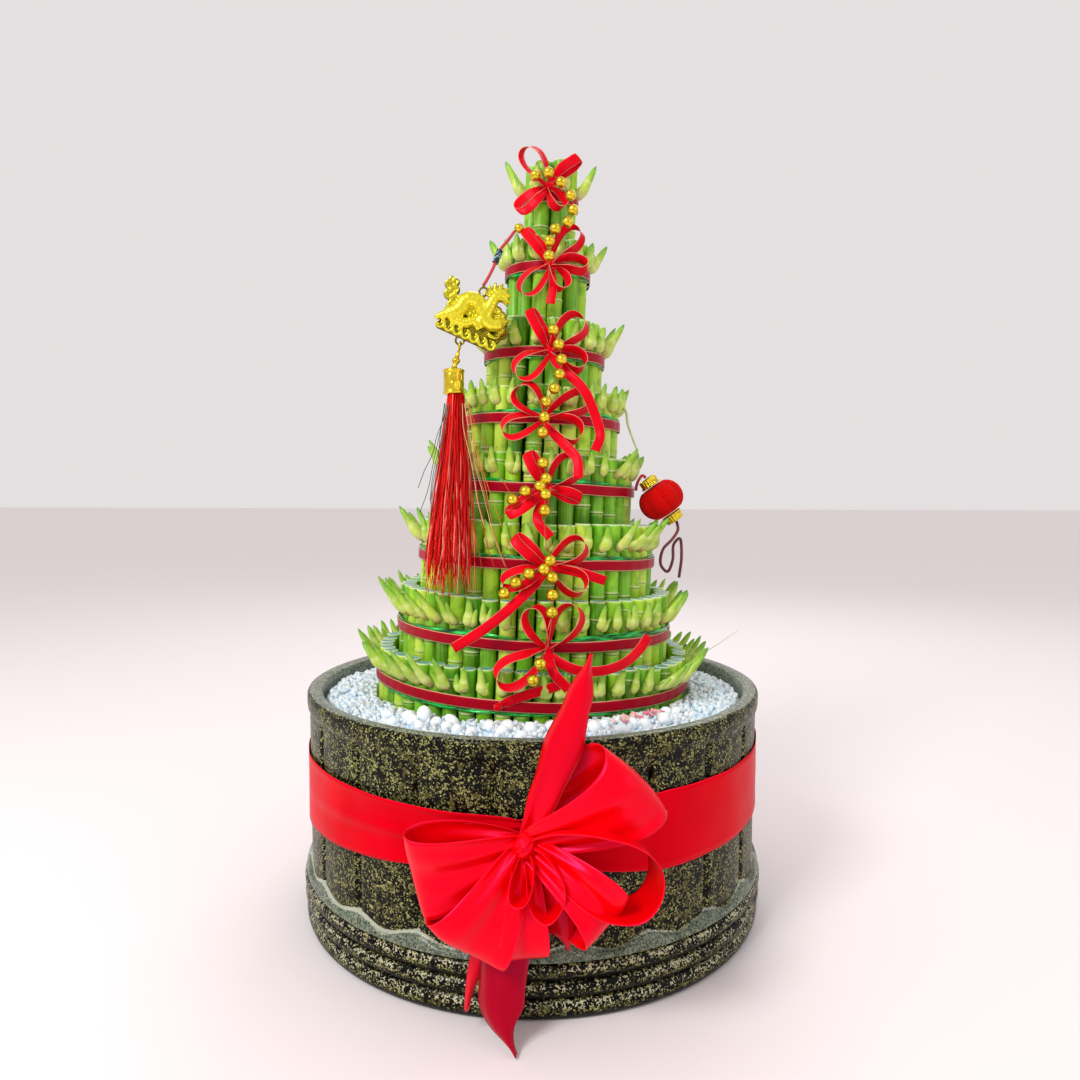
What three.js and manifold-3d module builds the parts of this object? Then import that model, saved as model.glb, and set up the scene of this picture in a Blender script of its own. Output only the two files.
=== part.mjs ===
// A lucky bamboo tower: eight nested rings of cut stalks, tied with ribbon and hung with charms,
// standing in a fluted glazed pot of white gravel. Millimetres, +Z up, the front is towards -Y.
// The origin is on the table, under the middle of the pot.
import * as THREE from "three";
import { mergeVertices } from "three/addons/utils/BufferGeometryUtils.js";
import Module from "manifold-3d";

const wasm = await Module();
wasm.setup();

// Driving dimensions
const GAP = 0.3;
const SLIVER = 0.08;
const POT = { rim: 150, height: 146.5, inner: 140.6, body: 148.4, flutes: 22, floor: 14 };
const GROOVE = { depth: 3.4, half: 2.4, bottom: 39.5, top: 132.5 };
const GRAVEL = { edge: 138.8, top: 139, slope: 3, relief: 1.6, pebbles: 12 };
const FOOT = { x: -2.4, z: 104 };
const LEAN = THREE.MathUtils.degToRad(2.1);
const STALK = { flat: 0.52, face: 0.94, valley: 0.12, wall: 10.9, topStep: 1.1 };
const SHOOT = { above: 5, tall: 8, out: 12.5, rise: 19, pressedOut: 3.2, pressedRise: 16 };
const RIBBON = {
  width: 6.5, gathered: 2.4, thick: 0.8, clear: 0.35, knot: 3.4, loopRoll: 42, tailRoll: 80, sliver: 0.2,
};
const TAPE = { thick: 0.5, above: [3.7, 8], below: [-6.7, -3.7] };
const BEAD = { radius: 3.4, thread: 1, pitch: 9.8 };
const BOW_LIFT = 6.5;
const GARLAND_LIFT = 12.3;
// The wide ribbon's edges at the sides, how much higher each is at the right, its edges at the knot,
// and how far round from the knot it stays gathered, in radians
const POT_RIBBON = {
  top: 113, bottom: 70, topTilt: 3, bottomTilt: 4, knotTop: 107, knotBottom: 90, thick: 1.2,
  tight: 0.06, leftReach: 1.3, rightReach: 0.5,
};
const LANTERN = { x: 84, y: -21, z: 268.5, across: 15, along: 11, cap: 6, capHeight: 5.4, lean: 36 };
const CHARM = { x: -36, y: -50, z: 380, thick: 3.2 };
const CAP = { x: -49, y: -53, top: 348, radius: 6.2, height: 15.5 };
const CORD = { radius: 1.1, wrapInner: 1.5, wrapOuter: 2.4 };
const LINK = { eye: [-45.6, -50, 362.5], length: 15.1 };
const TASSEL = { x: -47.5, top: 332.2, bottom: 217, flutes: 12 };

// The tiers from the bottom up, in the tower's own frame: outer radius, height of the ribbon, height
// of the cut tops, number of stalks, and where the green tape that ties them sits by the ribbon.
const TIERS = [
  { name: "tier_8", outer: 104.5, band: 48, top: 66, stalks: 57, tape: "below" },
  { name: "tier_7", outer: 91.4, band: 80, top: 106, stalks: 50, tape: "above" },
  { name: "tier_6", outer: 79, band: 126, top: 150, stalks: 42, tape: "above" },
  { name: "tier_5", outer: 63.5, band: 171.5, top: 193, stalks: 33, tape: "above" },
  { name: "tier_4", outer: 52, band: 214.6, top: 235, stalks: 27, tape: "above" },
  { name: "tier_3", outer: 39.8, band: 257.6, top: 279.5, stalks: 20, tape: "below" },
  { name: "tier_2", outer: 27.8, band: 314, top: 333.5, stalks: 13, tape: "below" },
  { name: "tier_1", outer: 17.9, band: 361, top: 386.5, stalks: 6 },
];

// Each bow, by tier: where its knot sits left or right of the tower's middle and how far above its
// ribbon, its loops as [direction in degrees, length, half width of the opening], and its tails as
// points [x, z, lift].
const BOWS = {
  tier_1: {
    x: -2,
    rise: 5,
    loops: [[123, 29, 6], [45, 27, 3], [223, 25, 5], [-61, 19, 4]],
    tails: [],
  },
  tier_2: {
    x: 1,
    loops: [[128, 28, 4], [53, 30, 6], [0, 24, 4], [231, 27, 6], [-63, 20, 5]],
    tails: [[[1, 312, -1], [3, 298, 5], [2, 286, 6]]],
  },
  tier_3: {
    x: 3,
    loops: [[119, 28, 4], [47, 30, 7], [-23, 24, 6], [221, 27, 7]],
    tails: [[[4, 254, -1], [13, 243, 7], [24, 232, 13], [33, 213, 14], [35, 204, 14], [32, 195, 13]]],
  },
  tier_4: {
    x: 1,
    loops: [[133, 25, 7], [27, 33, 6], [201, 27, 6], [-27, 25, 7]],
    tails: [[[2, 211, -1], [12, 199, 9], [21, 189, 15], [22, 178, 14]]],
  },
  tier_5: {
    x: 4,
    loops: [[120, 24, 5], [46, 25, 7], [216, 28, 5], [-16, 21, 4]],
    tails: [[[4, 168, -1], [-1, 153, 6], [7, 143, 7]]],
  },
  tier_6: {
    x: 6,
    loops: [[140, 26, 5], [35, 26, 6], [202, 28, 4], [-28, 25, 6]],
    tails: [
      [[7, 126, -1], [22, 124, 5], [40, 119, 7]],
      [[5, 123, -1], [-9, 108, 7], [-28, 91, 8], [-46, 78, 6]],
    ],
  },
  tier_7: {
    x: 8,
    loops: [[114, 26, 6], [58, 29, 7], [211, 33, 7]],
    tails: [
      [[9, 77, -1], [23, 71, 7], [37, 70, 8], [51, 73, 8], [62, 80, 7], [67, 87, 6]],
      [[8, 76, -1], [12, 68, 6], [20, 60, 6]],
    ],
  },
  tier_8: {
    x: -19,
    loops: [],
    tails: [[[-17, 49, 1.5], [-7, 54, 2.6], [7, 59, 2.6], [17, 62, 2.6]]],
  },
};

// The gold bead garland, as points [x, z, lift] in the tower's frame: a long string hung over the
// bows and two short ends beside it.
const GARLAND = [
  [
    [-14, 367, 10.4], [-6, 371, 13], [4, 366, GARLAND_LIFT], [14, 353, 12.5], [11, 339, 12],
    [1, 331, GARLAND_LIFT], [0, 318, GARLAND_LIFT], [1, 293, GARLAND_LIFT], [1, 276, GARLAND_LIFT],
    [6, 264, GARLAND_LIFT], [10, 250, GARLAND_LIFT], [7, 233, GARLAND_LIFT], [1, 221, GARLAND_LIFT],
    [1, 207, GARLAND_LIFT], [-2, 197, GARLAND_LIFT], [3, 179, GARLAND_LIFT],
    [3, 160, GARLAND_LIFT], [4, 142, GARLAND_LIFT], [8, 126, GARLAND_LIFT],
    [9, 108, GARLAND_LIFT], [8, 88, GARLAND_LIFT], [4, 76, GARLAND_LIFT], [-2, 61, 11],
  ],
  [[4, 174, GARLAND_LIFT], [-6, 170, GARLAND_LIFT], [-14, 166, GARLAND_LIFT], [-22, 152, 12]],
  [[8, 126, GARLAND_LIFT], [-2, 124, GARLAND_LIFT], [-11, 118, GARLAND_LIFT], [-21, 108, 12]],
];
// Heights between which the thread is bare, [from, to]
const BARE = [[82, 100], [134, 157], [188, 201], [272, 312]];

// Places where things lie against the tower: shoots there are pressed to their stalks. Each is a
// span of x across the front, in the tower's frame, from one height to another.
const PRESSED = [
  { from: -45, to: 45, bottom: 0, top: 400 },
  { from: -85, to: -20, bottom: 90, top: 300 },
  { from: 45, to: 75, bottom: 0, top: 100 },
];
const LANTERN_SIDE = { angle: -14, spread: 26, bottom: 80, top: 250 };

const COLOUR = {
  glaze: 0x3a3526, gravel: 0xe6ecf2, stalk: 0x86b53a, ribbon: 0xb80f1c, satin: 0xe0101e,
  tape: 0x0f8f4a, gold: 0xd9a520, cord: 0xc0202a, wrap: 0x16383f, tassel: 0xd01218, flock: 0xc80a10,
};

function material(colour, roughness, metalness = 0) {
  return new THREE.MeshStandardMaterial({ color: colour, roughness, metalness });
}

const model = new THREE.Group();

// The tower stands in the gravel and leans a little to the right; its parts share this frame.
const tower = new THREE.Group();
tower.position.set(FOOT.x, 0, FOOT.z);
tower.rotation.y = LEAN;
tower.updateMatrix();
model.add(tower);

function add(parent, name, geometry, look) {
  const mesh = new THREE.Mesh(geometry, look);
  mesh.name = name;
  parent.add(mesh);
  return mesh;
}

// A small seeded generator, so that every build draws the same numbers.
function randomFrom(seed) {
  let state = seed;
  return () => {
    state = (state * 1664525 + 1013904223) % 4294967296;
    return state / 4294967296;
  };
}

// Joins and cuts

function weld(geometry) {
  const bare = geometry.clone();
  bare.deleteAttribute("normal");
  bare.deleteAttribute("uv");
  return mergeVertices(bare, 1e-4);
}

function solid(geometry) {
  const welded = weld(geometry);
  return new wasm.Manifold(new wasm.Mesh({
    numProp: 3,
    vertProperties: new Float32Array(welded.attributes.position.array),
    triVerts: new Uint32Array(welded.index.array),
  }));
}

// One body out of several. Where they close round an empty space, it is filled.
function fuse(geometries) {
  const whole = geometries.map(solid).reduce((body, piece) => body.add(piece));
  const bodies = whole.decompose().filter((body) => body.volume() > 0);
  return (bodies.length === 1 ? bodies[0] : whole).simplify(SLIVER);
}

function geometryOf(manifold) {
  const mesh = manifold.getMesh();
  const geometry = new THREE.BufferGeometry();
  geometry.setAttribute("position", new THREE.BufferAttribute(mesh.vertProperties, 3));
  geometry.setIndex(new THREE.BufferAttribute(mesh.triVerts, 1));
  return geometry;
}

// A solid skinned over rings of points, all with the same count, and closed by a fan at each end.
function loft(rings) {
  const count = rings[0].length;
  const points = rings.flat();
  const index = [];
  for (let r = 0; r + 1 < rings.length; r += 1) {
    for (let k = 0; k < count; k += 1) {
      const a = r * count + k;
      const b = r * count + ((k + 1) % count);
      index.push(a, b, b + count, a, b + count, a + count);
    }
  }
  const last = (rings.length - 1) * count;
  for (let k = 1; k + 1 < count; k += 1) {
    index.push(0, k + 1, k, last, last + k, last + k + 1);
  }
  const geometry = new THREE.BufferGeometry().setFromPoints(points);
  geometry.setIndex(index);
  return geometry;
}

// A ribbon along a list of stations { at, across, width }: a thin slab, split alike on both faces.
function ribbonAlong(stations, thick) {
  const rings = stations.map(({ at, across, width }, i) => {
    const before = stations[Math.max(i - 1, 0)].at;
    const after = stations[Math.min(i + 1, stations.length - 1)].at;
    const normal = after.clone().sub(before).cross(across).normalize();
    const corner = (side, face) => at.clone()
      .addScaledVector(across, (side * width) / 2)
      .addScaledVector(normal, (face * thick) / 2);
    return [corner(-1, -1), corner(1, -1), corner(1, 1), corner(-1, 1)];
  });
  return loft(rings);
}

// A hoop of rectangular section about the Z axis, whose flats clear a circle of radius `inner`.
function hoop(inner, thick, bottom, top, sides) {
  const near = inner / Math.cos(Math.PI / sides);
  const far = near + thick;
  const section = [[near, bottom], [far, bottom], [far, top], [near, top], [near, bottom]];
  return lathe(section, sides);
}

// A lathe about the Z axis, from [radius, height] pairs going round the section anticlockwise.
function lathe(section, sides) {
  const profile = section.map(([radius, height]) => new THREE.Vector2(radius, height));
  const geometry = new THREE.LatheGeometry(profile, sides);
  geometry.rotateX(Math.PI / 2);
  return geometry;
}

// The pot: a glazed tub with 22 flutes between narrow grooves, on a foot of three rolls.
function makePot() {
  const { rim, height, inner, body, flutes, floor } = POT;
  const tub = solid(lathe([
    [0, 0], [148.6, 0], [151.4, 6], [149.8, 12], [152.3, 16.8], [150.2, 21.6], [152.6, 26.2],
    [151.6, 31], [body - 0.6, 36.8], [body, 135], [rim, 138.5], [rim, 144.4], [147.8, height],
    [inner + 0.8, height - 0.6], [inner - 1, floor], [0, floor],
  ], flutes * 2));
  const { depth, half, bottom, top } = GROOVE;
  const wide = (half * (depth + 2)) / depth;
  const wedge = loft([bottom, top].map((z) => [
    new THREE.Vector3(body + 2, -wide, z), new THREE.Vector3(body + 2, wide, z),
    new THREE.Vector3(body - depth, 0, z),
  ]));
  wedge.rotateZ(Math.PI / flutes - Math.PI / 2);
  let pot = tub;
  for (let i = 0; i < flutes; i += 1) {
    pot = pot.subtract(solid(wedge));
    wedge.rotateZ((2 * Math.PI) / flutes);
  }
  return geometryOf(pot.simplify(SLIVER));
}

// The gravel fills the pot, is heaped a little towards the front, and has a plain hole for the stalks.
function makeGravel() {
  const { edge, top, slope, relief, pebbles } = GRAVEL;
  const random = randomFrom(7);
  const geometry = weld(lathe([
    [0, POT.floor + GAP], [edge, POT.floor + GAP], [edge, top], [127, top + 1.5], [114, top + 2],
    [98, top + 2], [0, top + 2],
  ], 28));
  const place = geometry.attributes.position;
  for (let i = 0; i < place.count; i += 1) {
    if (place.getZ(i) > top - 1) {
      const towardsFront = -place.getY(i) / edge;
      place.setZ(i, place.getZ(i) + slope * towardsFront + (random() - 0.5) * relief);
    }
  }
  const stones = [solid(geometry)];
  for (let i = 0; i < pebbles; i += 1) {
    const angle = THREE.MathUtils.degToRad(-128 + (i * 82) / pebbles + random() * 3);
    const away = 113 + random() * 13;
    const stone = new THREE.IcosahedronGeometry(4.2 + random() * 2.2, 0);
    stone.scale(1.2, 0.9, 0.8);
    stone.rotateZ(random() * Math.PI);
    stone.translate(away * Math.cos(angle), away * Math.sin(angle), top + 1.5 - slope * Math.sin(angle));
    stones.push(solid(stone));
  }
  const holeRadius = TIERS[0].outer + 2.9;
  const hole = new THREE.CylinderGeometry(holeRadius, holeRadius, 120, 30);
  hole.rotateX(Math.PI / 2);
  hole.translate(0, 0, 60);
  hole.applyMatrix4(tower.matrix);
  const heap = stones.reduce((whole, stone) => whole.add(stone));
  return geometryOf(heap.subtract(solid(hole)).simplify(SLIVER));
}

function isPressed(angle, radius, height) {
  const x = radius * Math.cos(angle);
  const onFront = Math.sin(angle) < -0.35;
  const inFront = PRESSED.some((p) => x > p.from && x < p.to && height > p.bottom && height < p.top);
  const side = THREE.MathUtils.degToRad(LANTERN_SIDE.angle);
  const near = Math.abs(angle - side) * radius < LANTERN_SIDE.spread;
  const atLantern = near && height > LANTERN_SIDE.bottom && height < LANTERN_SIDE.top;
  return (onFront && inFront) || atLantern;
}

// The corners of one tier's stalks, as columns of points round the ring. Each stalk has a wide face
// between two edges, and meets its neighbours in a valley on either side.
function stalkPlan(tier, inside) {
  const pitch = Math.PI / tier.stalks;
  const radius = (tier.outer * Math.sin(pitch)) / (1 + Math.sin(pitch));
  const centre = tier.outer - radius;
  const face = centre + STALK.face * radius;
  const edge = STALK.flat * radius;
  const wall = Math.max(tier.outer - STALK.wall, inside / Math.cos(pitch));
  return {
    pitch,
    valley: centre + STALK.valley * radius,
    wall,
    edgeAngle: Math.atan2(edge, face),
    edgeRadius: Math.hypot(edge, face),
    face,
  };
}

// One tier: stalks side by side in a ring, each with its cut top and, above the ribbon, its shoot.
function makeTier(tier, inside, seed) {
  const random = randomFrom(seed);
  const plan = stalkPlan(tier, inside);
  const points = [];
  const index = [];
  const point = (radius, angle, z) => {
    points.push(new THREE.Vector3(radius * Math.cos(angle), radius * Math.sin(angle), z));
    return points.length - 1;
  };
  // A flat face with its corners anticlockwise from outside; the fan starts at the first corner.
  const face = (...corners) => {
    const real = corners.filter((corner, i) => corner !== corners[(i + 1) % corners.length]);
    for (let i = 1; i + 1 < real.length; i += 1) {
      index.push(real[0], real[i], real[i + 1]);
    }
  };
  const tops = Array.from({ length: tier.stalks }, () => tier.top);
  for (let i = 1; i < tier.stalks; i += 1) {
    const keep = random() < 0.45;
    tops[i] = keep ? tops[i - 1] : tier.top + Math.floor(random() * 3 - 1) * STALK.topStep;
  }
  const start = -Math.PI / 2;
  const seams = tops.map((top, i) => {
    const angle = start + 2 * plan.pitch * i;
    const before = tops[(i + tier.stalks - 1) % tier.stalks];
    const outFoot = point(plan.valley, angle, GAP);
    const inFoot = point(plan.wall, angle, GAP);
    const low = Math.min(before, top);
    const outLow = point(plan.valley, angle, low);
    const inLow = point(plan.wall, angle, low);
    const level = before === top;
    const outHigh = level ? outLow : point(plan.valley, angle, Math.max(before, top));
    const inHigh = level ? inLow : point(plan.wall, angle, Math.max(before, top));
    return { outFoot, inFoot, outLow, inLow, outHigh, inHigh, rises: before < top };
  });
  const root = tier.band + SHOOT.above + (tier.tape === "above" ? 3.8 : 0);
  tops.forEach((top, i) => {
    const left = seams[i];
    const right = seams[(i + 1) % tier.stalks];
    const next = tops[(i + 1) % tier.stalks];
    const middle = start + 2 * plan.pitch * (i + 0.5);
    const column = (side) => [root, root + SHOOT.tall, top]
      .map((z) => point(plan.edgeRadius, middle + side * plan.edgeAngle, z));
    const [leftRoot, leftCrook, leftTop] = column(-1);
    const [rightRoot, rightCrook, rightTop] = column(1);
    const turned = Math.atan2(Math.sin(middle), Math.cos(middle));
    const pressed = isPressed(turned, tier.outer, tier.band);
    const out = pressed ? SHOOT.pressedOut : SHOOT.out * (0.8 + 0.3 * random());
    const rise = pressed ? SHOOT.pressedRise : SHOOT.rise * (0.85 + 0.3 * random());
    const swing = ((random() - 0.5) * (pressed ? 3 : 7)) / tier.outer;
    const tip = point(plan.face + out, middle + swing, root + rise);
    const leftUp = top >= tops[(i + tier.stalks - 1) % tier.stalks];
    const outLeft = leftUp ? left.outHigh : left.outLow;
    const inLeft = leftUp ? left.inHigh : left.inLow;
    const rightUp = top >= next;
    const outRight = rightUp ? right.outHigh : right.outLow;
    const inRight = rightUp ? right.inHigh : right.inLow;
    // The face below the shoot, the shoot's four sides and the face above it
    face(left.outFoot, right.outFoot, rightRoot, leftRoot);
    face(leftRoot, rightRoot, tip);
    face(rightRoot, rightCrook, tip);
    face(rightCrook, leftCrook, tip);
    face(leftCrook, leftRoot, tip);
    face(leftCrook, rightCrook, rightTop, leftTop);
    // The flats that turn into the valleys, fanned so that no triangle lies along an edge
    face(leftRoot, leftCrook, outLeft, left.outLow, left.outFoot);
    face(leftCrook, leftTop, outLeft);
    face(rightRoot, right.outFoot, right.outLow, outRight, rightCrook);
    face(rightCrook, outRight, rightTop);
    // Top, inside, foot and the step up from a shorter neighbour
    face(inLeft, outLeft, leftTop, rightTop, outRight, inRight);
    face(inLeft, inRight, right.inLow, right.inFoot);
    face(right.inFoot, left.inFoot, left.inLow, inLeft);
    face(left.outFoot, left.inFoot, right.inFoot, right.outFoot);
    if (left.outHigh !== left.outLow) {
      const step = [left.outLow, left.outHigh, left.inHigh, left.inLow];
      face(...(left.rises ? step : step.reverse()));
    }
  });
  const ring = new THREE.BufferGeometry().setFromPoints(points);
  ring.setIndex(index);
  if (inside > 0) {
    return ring;
  }
  const heart = new THREE.CylinderGeometry(7.6, 7.6, tier.top, 8);
  heart.rotateX(Math.PI / 2);
  heart.translate(0, 0, tier.top / 2 + 1.5);
  return geometryOf(fuse([ring, heart]));
}

// The tower's slope seen from the side: a line over the cut tops of the tiers, at each height.
function slopeAt(height) {
  const line = TIERS.map(({ top, outer }) => [top, outer]);
  if (height <= line[0][0]) {
    return line[0][1];
  }
  for (let i = 1; i < line.length; i += 1) {
    if (height <= line[i][0]) {
      const share = (height - line[i - 1][0]) / (line[i][0] - line[i - 1][0]);
      return THREE.MathUtils.lerp(line[i - 1][1], line[i][1], share);
    }
  }
  return line.at(-1)[1];
}

// A point on the tower's front, `lift` in front of the slope, which curves away to the sides.
function onFront(x, height, lift) {
  const radius = slopeAt(height);
  const depth = radius * Math.sqrt(Math.max(1 - (x / radius) ** 2, 0.6));
  return new THREE.Vector3(x, -(depth + lift), height);
}

const FRONT = new THREE.Vector3(0, -1, 0);

function inPlane(degrees) {
  const angle = THREE.MathUtils.degToRad(degrees);
  return new THREE.Vector3(Math.cos(angle), 0, Math.sin(angle));
}

// One loop of a small bow: a teardrop in the front plane, whose ribbon stands obliquely to it.
function smallLoop(knot, [degrees, length, swell]) {
  const out = inPlane(degrees);
  const side = inPlane(degrees + 90);
  const roll = THREE.MathUtils.degToRad(RIBBON.loopRoll);
  const across = FRONT.clone().multiplyScalar(Math.cos(roll)).addScaledVector(side, Math.sin(roll));
  const stations = [];
  const steps = 5;
  for (let i = 0; i <= steps; i += 1) {
    const t = i / steps;
    const away = length * Math.sin(Math.PI * t);
    const aside = swell * Math.sin(2 * Math.PI * t) + 0.8 * (1 - 2 * t);
    const flat = knot.clone().addScaledVector(out, away).addScaledVector(side, aside);
    const at = onFront(flat.x, flat.z, BOW_LIFT);
    const spread = Math.min(away / 12, 1);
    at.y = THREE.MathUtils.lerp(knot.y, at.y, spread);
    stations.push({ at, across, width: THREE.MathUtils.lerp(RIBBON.gathered, RIBBON.width, spread) });
  }
  return ribbonAlong(stations, RIBBON.thick);
}

// A loose end of ribbon from the knot along points [x, z, lift], seen mostly face on.
function smallTail(knot, points) {
  const places = [knot, ...points.map(([x, z, lift]) => onFront(x, z, lift))];
  const curve = new THREE.CatmullRomCurve3(places);
  const steps = Math.round(1.3 * points.length);
  const roll = THREE.MathUtils.degToRad(RIBBON.tailRoll);
  const stations = [];
  for (let i = 0; i <= steps; i += 1) {
    const along = curve.getTangent(i / steps);
    const side = new THREE.Vector3(-along.z, 0, along.x).normalize();
    const across = side.multiplyScalar(Math.sin(roll)).addScaledVector(FRONT, Math.cos(roll));
    const width = i === 0 ? RIBBON.gathered : RIBBON.width - 0.6;
    stations.push({ at: curve.getPoint(i / steps), across, width });
  }
  return ribbonAlong(stations, RIBBON.thick);
}

// How many sides a hoop round a tier has
function hoopSides(tier) {
  return Math.round(10 + 0.13 * tier.outer);
}

// The thin ribbon round one tier: a band, the knot in front of it, and the bow's loops and tails.
function makeTierRibbon(tier) {
  const bow = BOWS[tier.name];
  const half = RIBBON.width / 2;
  const inner = tier.outer + RIBBON.clear;
  const band = hoop(inner, RIBBON.thick, tier.band - half, tier.band + half, hoopSides(tier));
  const knot = new THREE.Vector3(bow.x, 0, tier.band + (bow.rise ?? 0));
  knot.y = -(Math.sqrt(tier.outer ** 2 - bow.x ** 2) + RIBBON.knot);
  const tie = new THREE.BoxGeometry(6.6, 5.4, 6.2);
  tie.translate(knot.x, knot.y, knot.z);
  const loops = bow.loops.map((loop) => smallLoop(knot, loop));
  const tails = bow.tails.map((points) => smallTail(knot, points));
  return geometryOf(fuse([band, tie, ...loops, ...tails]).simplify(RIBBON.sliver));
}

// The green tape that ties the stalks, just above or below the ribbon
function makeTape(tier) {
  const [from, to] = TAPE[tier.tape];
  const inner = tier.outer + RIBBON.clear;
  return hoop(inner, TAPE.thick, tier.band + from, tier.band + to, hoopSides(tier));
}

// Gold beads on a thread along a curve: five-sided, widest at the middle of each bead. Some of the
// thread is bare.
function beadString(curve) {
  const beads = Math.round(curve.getLength() / BEAD.pitch);
  const rings = [];
  for (let i = 0; i <= 2 * beads; i += 1) {
    const at = i / (2 * beads);
    const place = curve.getPointAt(at);
    const bare = BARE.some(([from, to]) => place.z > from && place.z < to);
    const radius = i % 2 === 0 || bare ? BEAD.thread : BEAD.radius;
    const along = curve.getTangentAt(at);
    const across = along.clone().cross(FRONT).normalize();
    const normal = along.clone().cross(across);
    rings.push([0, 1, 2, 3, 4].map((k) => place.clone()
      .addScaledVector(across, radius * Math.cos(0.4 * Math.PI * k))
      .addScaledVector(normal, radius * Math.sin(0.4 * Math.PI * k))));
  }
  return loft(rings);
}

function makeGarland() {
  const strings = GARLAND.map((points) => beadString(
    new THREE.CatmullRomCurve3(points.map(([x, z, lift]) => onFront(x, z, lift))),
  ));
  return geometryOf(fuse(strings));
}

// A cord along points [x, y, z]: an eight-sided section, or a sleeve if it has an inner radius.
function cordAlong(points, steps, radius, inner = 0) {
  const curve = new THREE.CatmullRomCurve3(points.map(([x, y, z]) => new THREE.Vector3(x, y, z)));
  const circle = (size) => [0, 1, 2, 3, 4, 5, 6, 7].map((k) => {
    const angle = (Math.PI * k) / 4;
    return new THREE.Vector2(size * Math.cos(angle), size * Math.sin(angle));
  });
  const section = new THREE.Shape(circle(radius));
  if (inner > 0) {
    section.holes.push(new THREE.Path(circle(inner).reverse()));
  }
  return new THREE.ExtrudeGeometry(section, { steps, extrudePath: curve });
}

// The wide satin ribbon round the pot, gathered where the bow is tied in front of it.
function makePotRibbon() {
  const { top, bottom, topTilt, bottomTilt, knotTop, knotBottom, thick } = POT_RIBBON;
  const { tight, leftReach, rightReach } = POT_RIBBON;
  const geometry = hoop(POT.body * Math.cos(Math.PI / 44) + GAP, thick, -0.5, 0.5, POT.flutes * 2);
  const place = geometry.attributes.position;
  for (let i = 0; i < place.count; i += 1) {
    // The angle from the knot, positive towards the right
    const angle = Math.atan2(place.getX(i), -place.getY(i));
    const reach = angle > 0 ? rightReach : leftReach;
    const share = THREE.MathUtils.clamp((Math.abs(angle) - tight) / (reach - tight), 0, 1);
    const spread = Math.sqrt(share);
    const upper = THREE.MathUtils.lerp(knotTop, top + topTilt * Math.sin(angle), spread);
    const lower = THREE.MathUtils.lerp(knotBottom, bottom + bottomTilt * Math.sin(angle), spread);
    place.setZ(i, place.getZ(i) > 0 ? upper : lower);
  }
  return geometry;
}

// The big bow on the pot. Its broad loops run out in front and back behind, so each shows its broad
// side: its direction, its length, half the depth it is open, its width at the tip, how far it leans
// forward, how far its layers stand apart sideways and how much its tip is cut on the slant.
const BIG_KNOT = new THREE.Vector3(-4, -157.4, 98);
const BIG_LOOPS = [
  { turn: 32, length: 65, deep: 10, tip: 42, lean: 0.1, skew: -6, slant: -5 },
  { turn: 193, length: 56, deep: 8, tip: 42, lean: 0.12, skew: 2, slant: 0 },
  { turn: 268, length: 52, deep: 8, tip: 26, lean: 0.2, skew: 2, slant: 0 },
  { turn: 236, length: 54, deep: 8, tip: 43, lean: 0.28, skew: 3, slant: 0 },
  { turn: -39, length: 50, deep: 9, tip: 32, lean: 0.4, skew: 7, slant: 0 },
];
// One more loop lies on edge, so that it is seen into: its outline from the knot as [right, up], how
// far it stands out in front and its width from back to front
const ROLLED_LOOP = {
  outline: [
    [0, 1], [19, 9], [38, 10.5], [56, 5.5], [65, -4], [65, -17], [57, -27], [41, -27], [21, -17], [0, -2],
  ],
  back: 4,
  wide: 26,
};
const ROLLED_TILT = new THREE.Vector3(-0.16, 0, 0.1);
const BIG_SATIN = { knotWidth: 8, thick: 1.2, rolledKnotWidth: 7, rolledKnotDepth: 4, sliver: 0.5 };

function bigLoop({ turn, length, deep, tip, lean, skew, slant }) {
  const out = inPlane(turn);
  const across = inPlane(turn + 90);
  const stations = [];
  const steps = 6;
  for (let i = 0; i <= steps; i += 1) {
    const t = i / steps;
    const open = Math.sin(Math.PI * t);
    const layer = Math.sin(2 * Math.PI * t);
    const at = BIG_KNOT.clone()
      .addScaledVector(out, length * open)
      .addScaledVector(FRONT, deep * layer + lean * length * open + 1.6 * (1 - 2 * t))
      .addScaledVector(across, skew * layer);
    const width = THREE.MathUtils.lerp(BIG_SATIN.knotWidth, tip, open ** 0.7);
    const leaning = across.clone().multiplyScalar(width / 2).addScaledVector(out, slant * open);
    stations.push({ at, across: leaning.clone().normalize(), width: 2 * leaning.length() });
  }
  return ribbonAlong(stations, BIG_SATIN.thick);
}

function rolledLoop({ outline, back, wide }) {
  const curve = new THREE.CatmullRomCurve3(outline.map(([x, z]) => new THREE.Vector3(x, 0, z)));
  const across = FRONT.clone().add(ROLLED_TILT).normalize();
  const stations = [];
  const steps = 8;
  for (let i = 0; i <= steps; i += 1) {
    const t = i / steps;
    const spread = THREE.MathUtils.smoothstep(Math.min(t, 1 - t), 0, 0.3);
    const depth = THREE.MathUtils.lerp(BIG_SATIN.rolledKnotDepth, back + wide / 2, spread);
    const at = BIG_KNOT.clone().add(curve.getPoint(t)).addScaledVector(across, depth);
    const width = THREE.MathUtils.lerp(BIG_SATIN.rolledKnotWidth, wide, spread);
    stations.push({ at, across, width });
  }
  return ribbonAlong(stations, BIG_SATIN.thick);
}

// Tails of the big bow, as stations [x, y, z, width]. The longest one ends on the table.
const BIG_TAILS = [
  [[-3, -157, 100, 9], [6, -158, 125, 17], [16, -157, 152, 22], [24, -155, 175, 15], [29, -154, 192, 2]],
  [[-6, -158, 96, 9], [-13, -161, 60, 25], [-16, -166, 34, 28], [-15, -172, 13, 25], [-8, -177, 1.4, 2]],
  [[-7, -156.5, 95, 8], [-22, -157.5, 55, 12], [-31, -159, 26, 9], [-33, -160, 13, 3]],
  [[-2, -162, 90, 8], [8, -168, 72, 20], [15, -169, 58, 17], [17.5, -168, 49, 2]],
];

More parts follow.
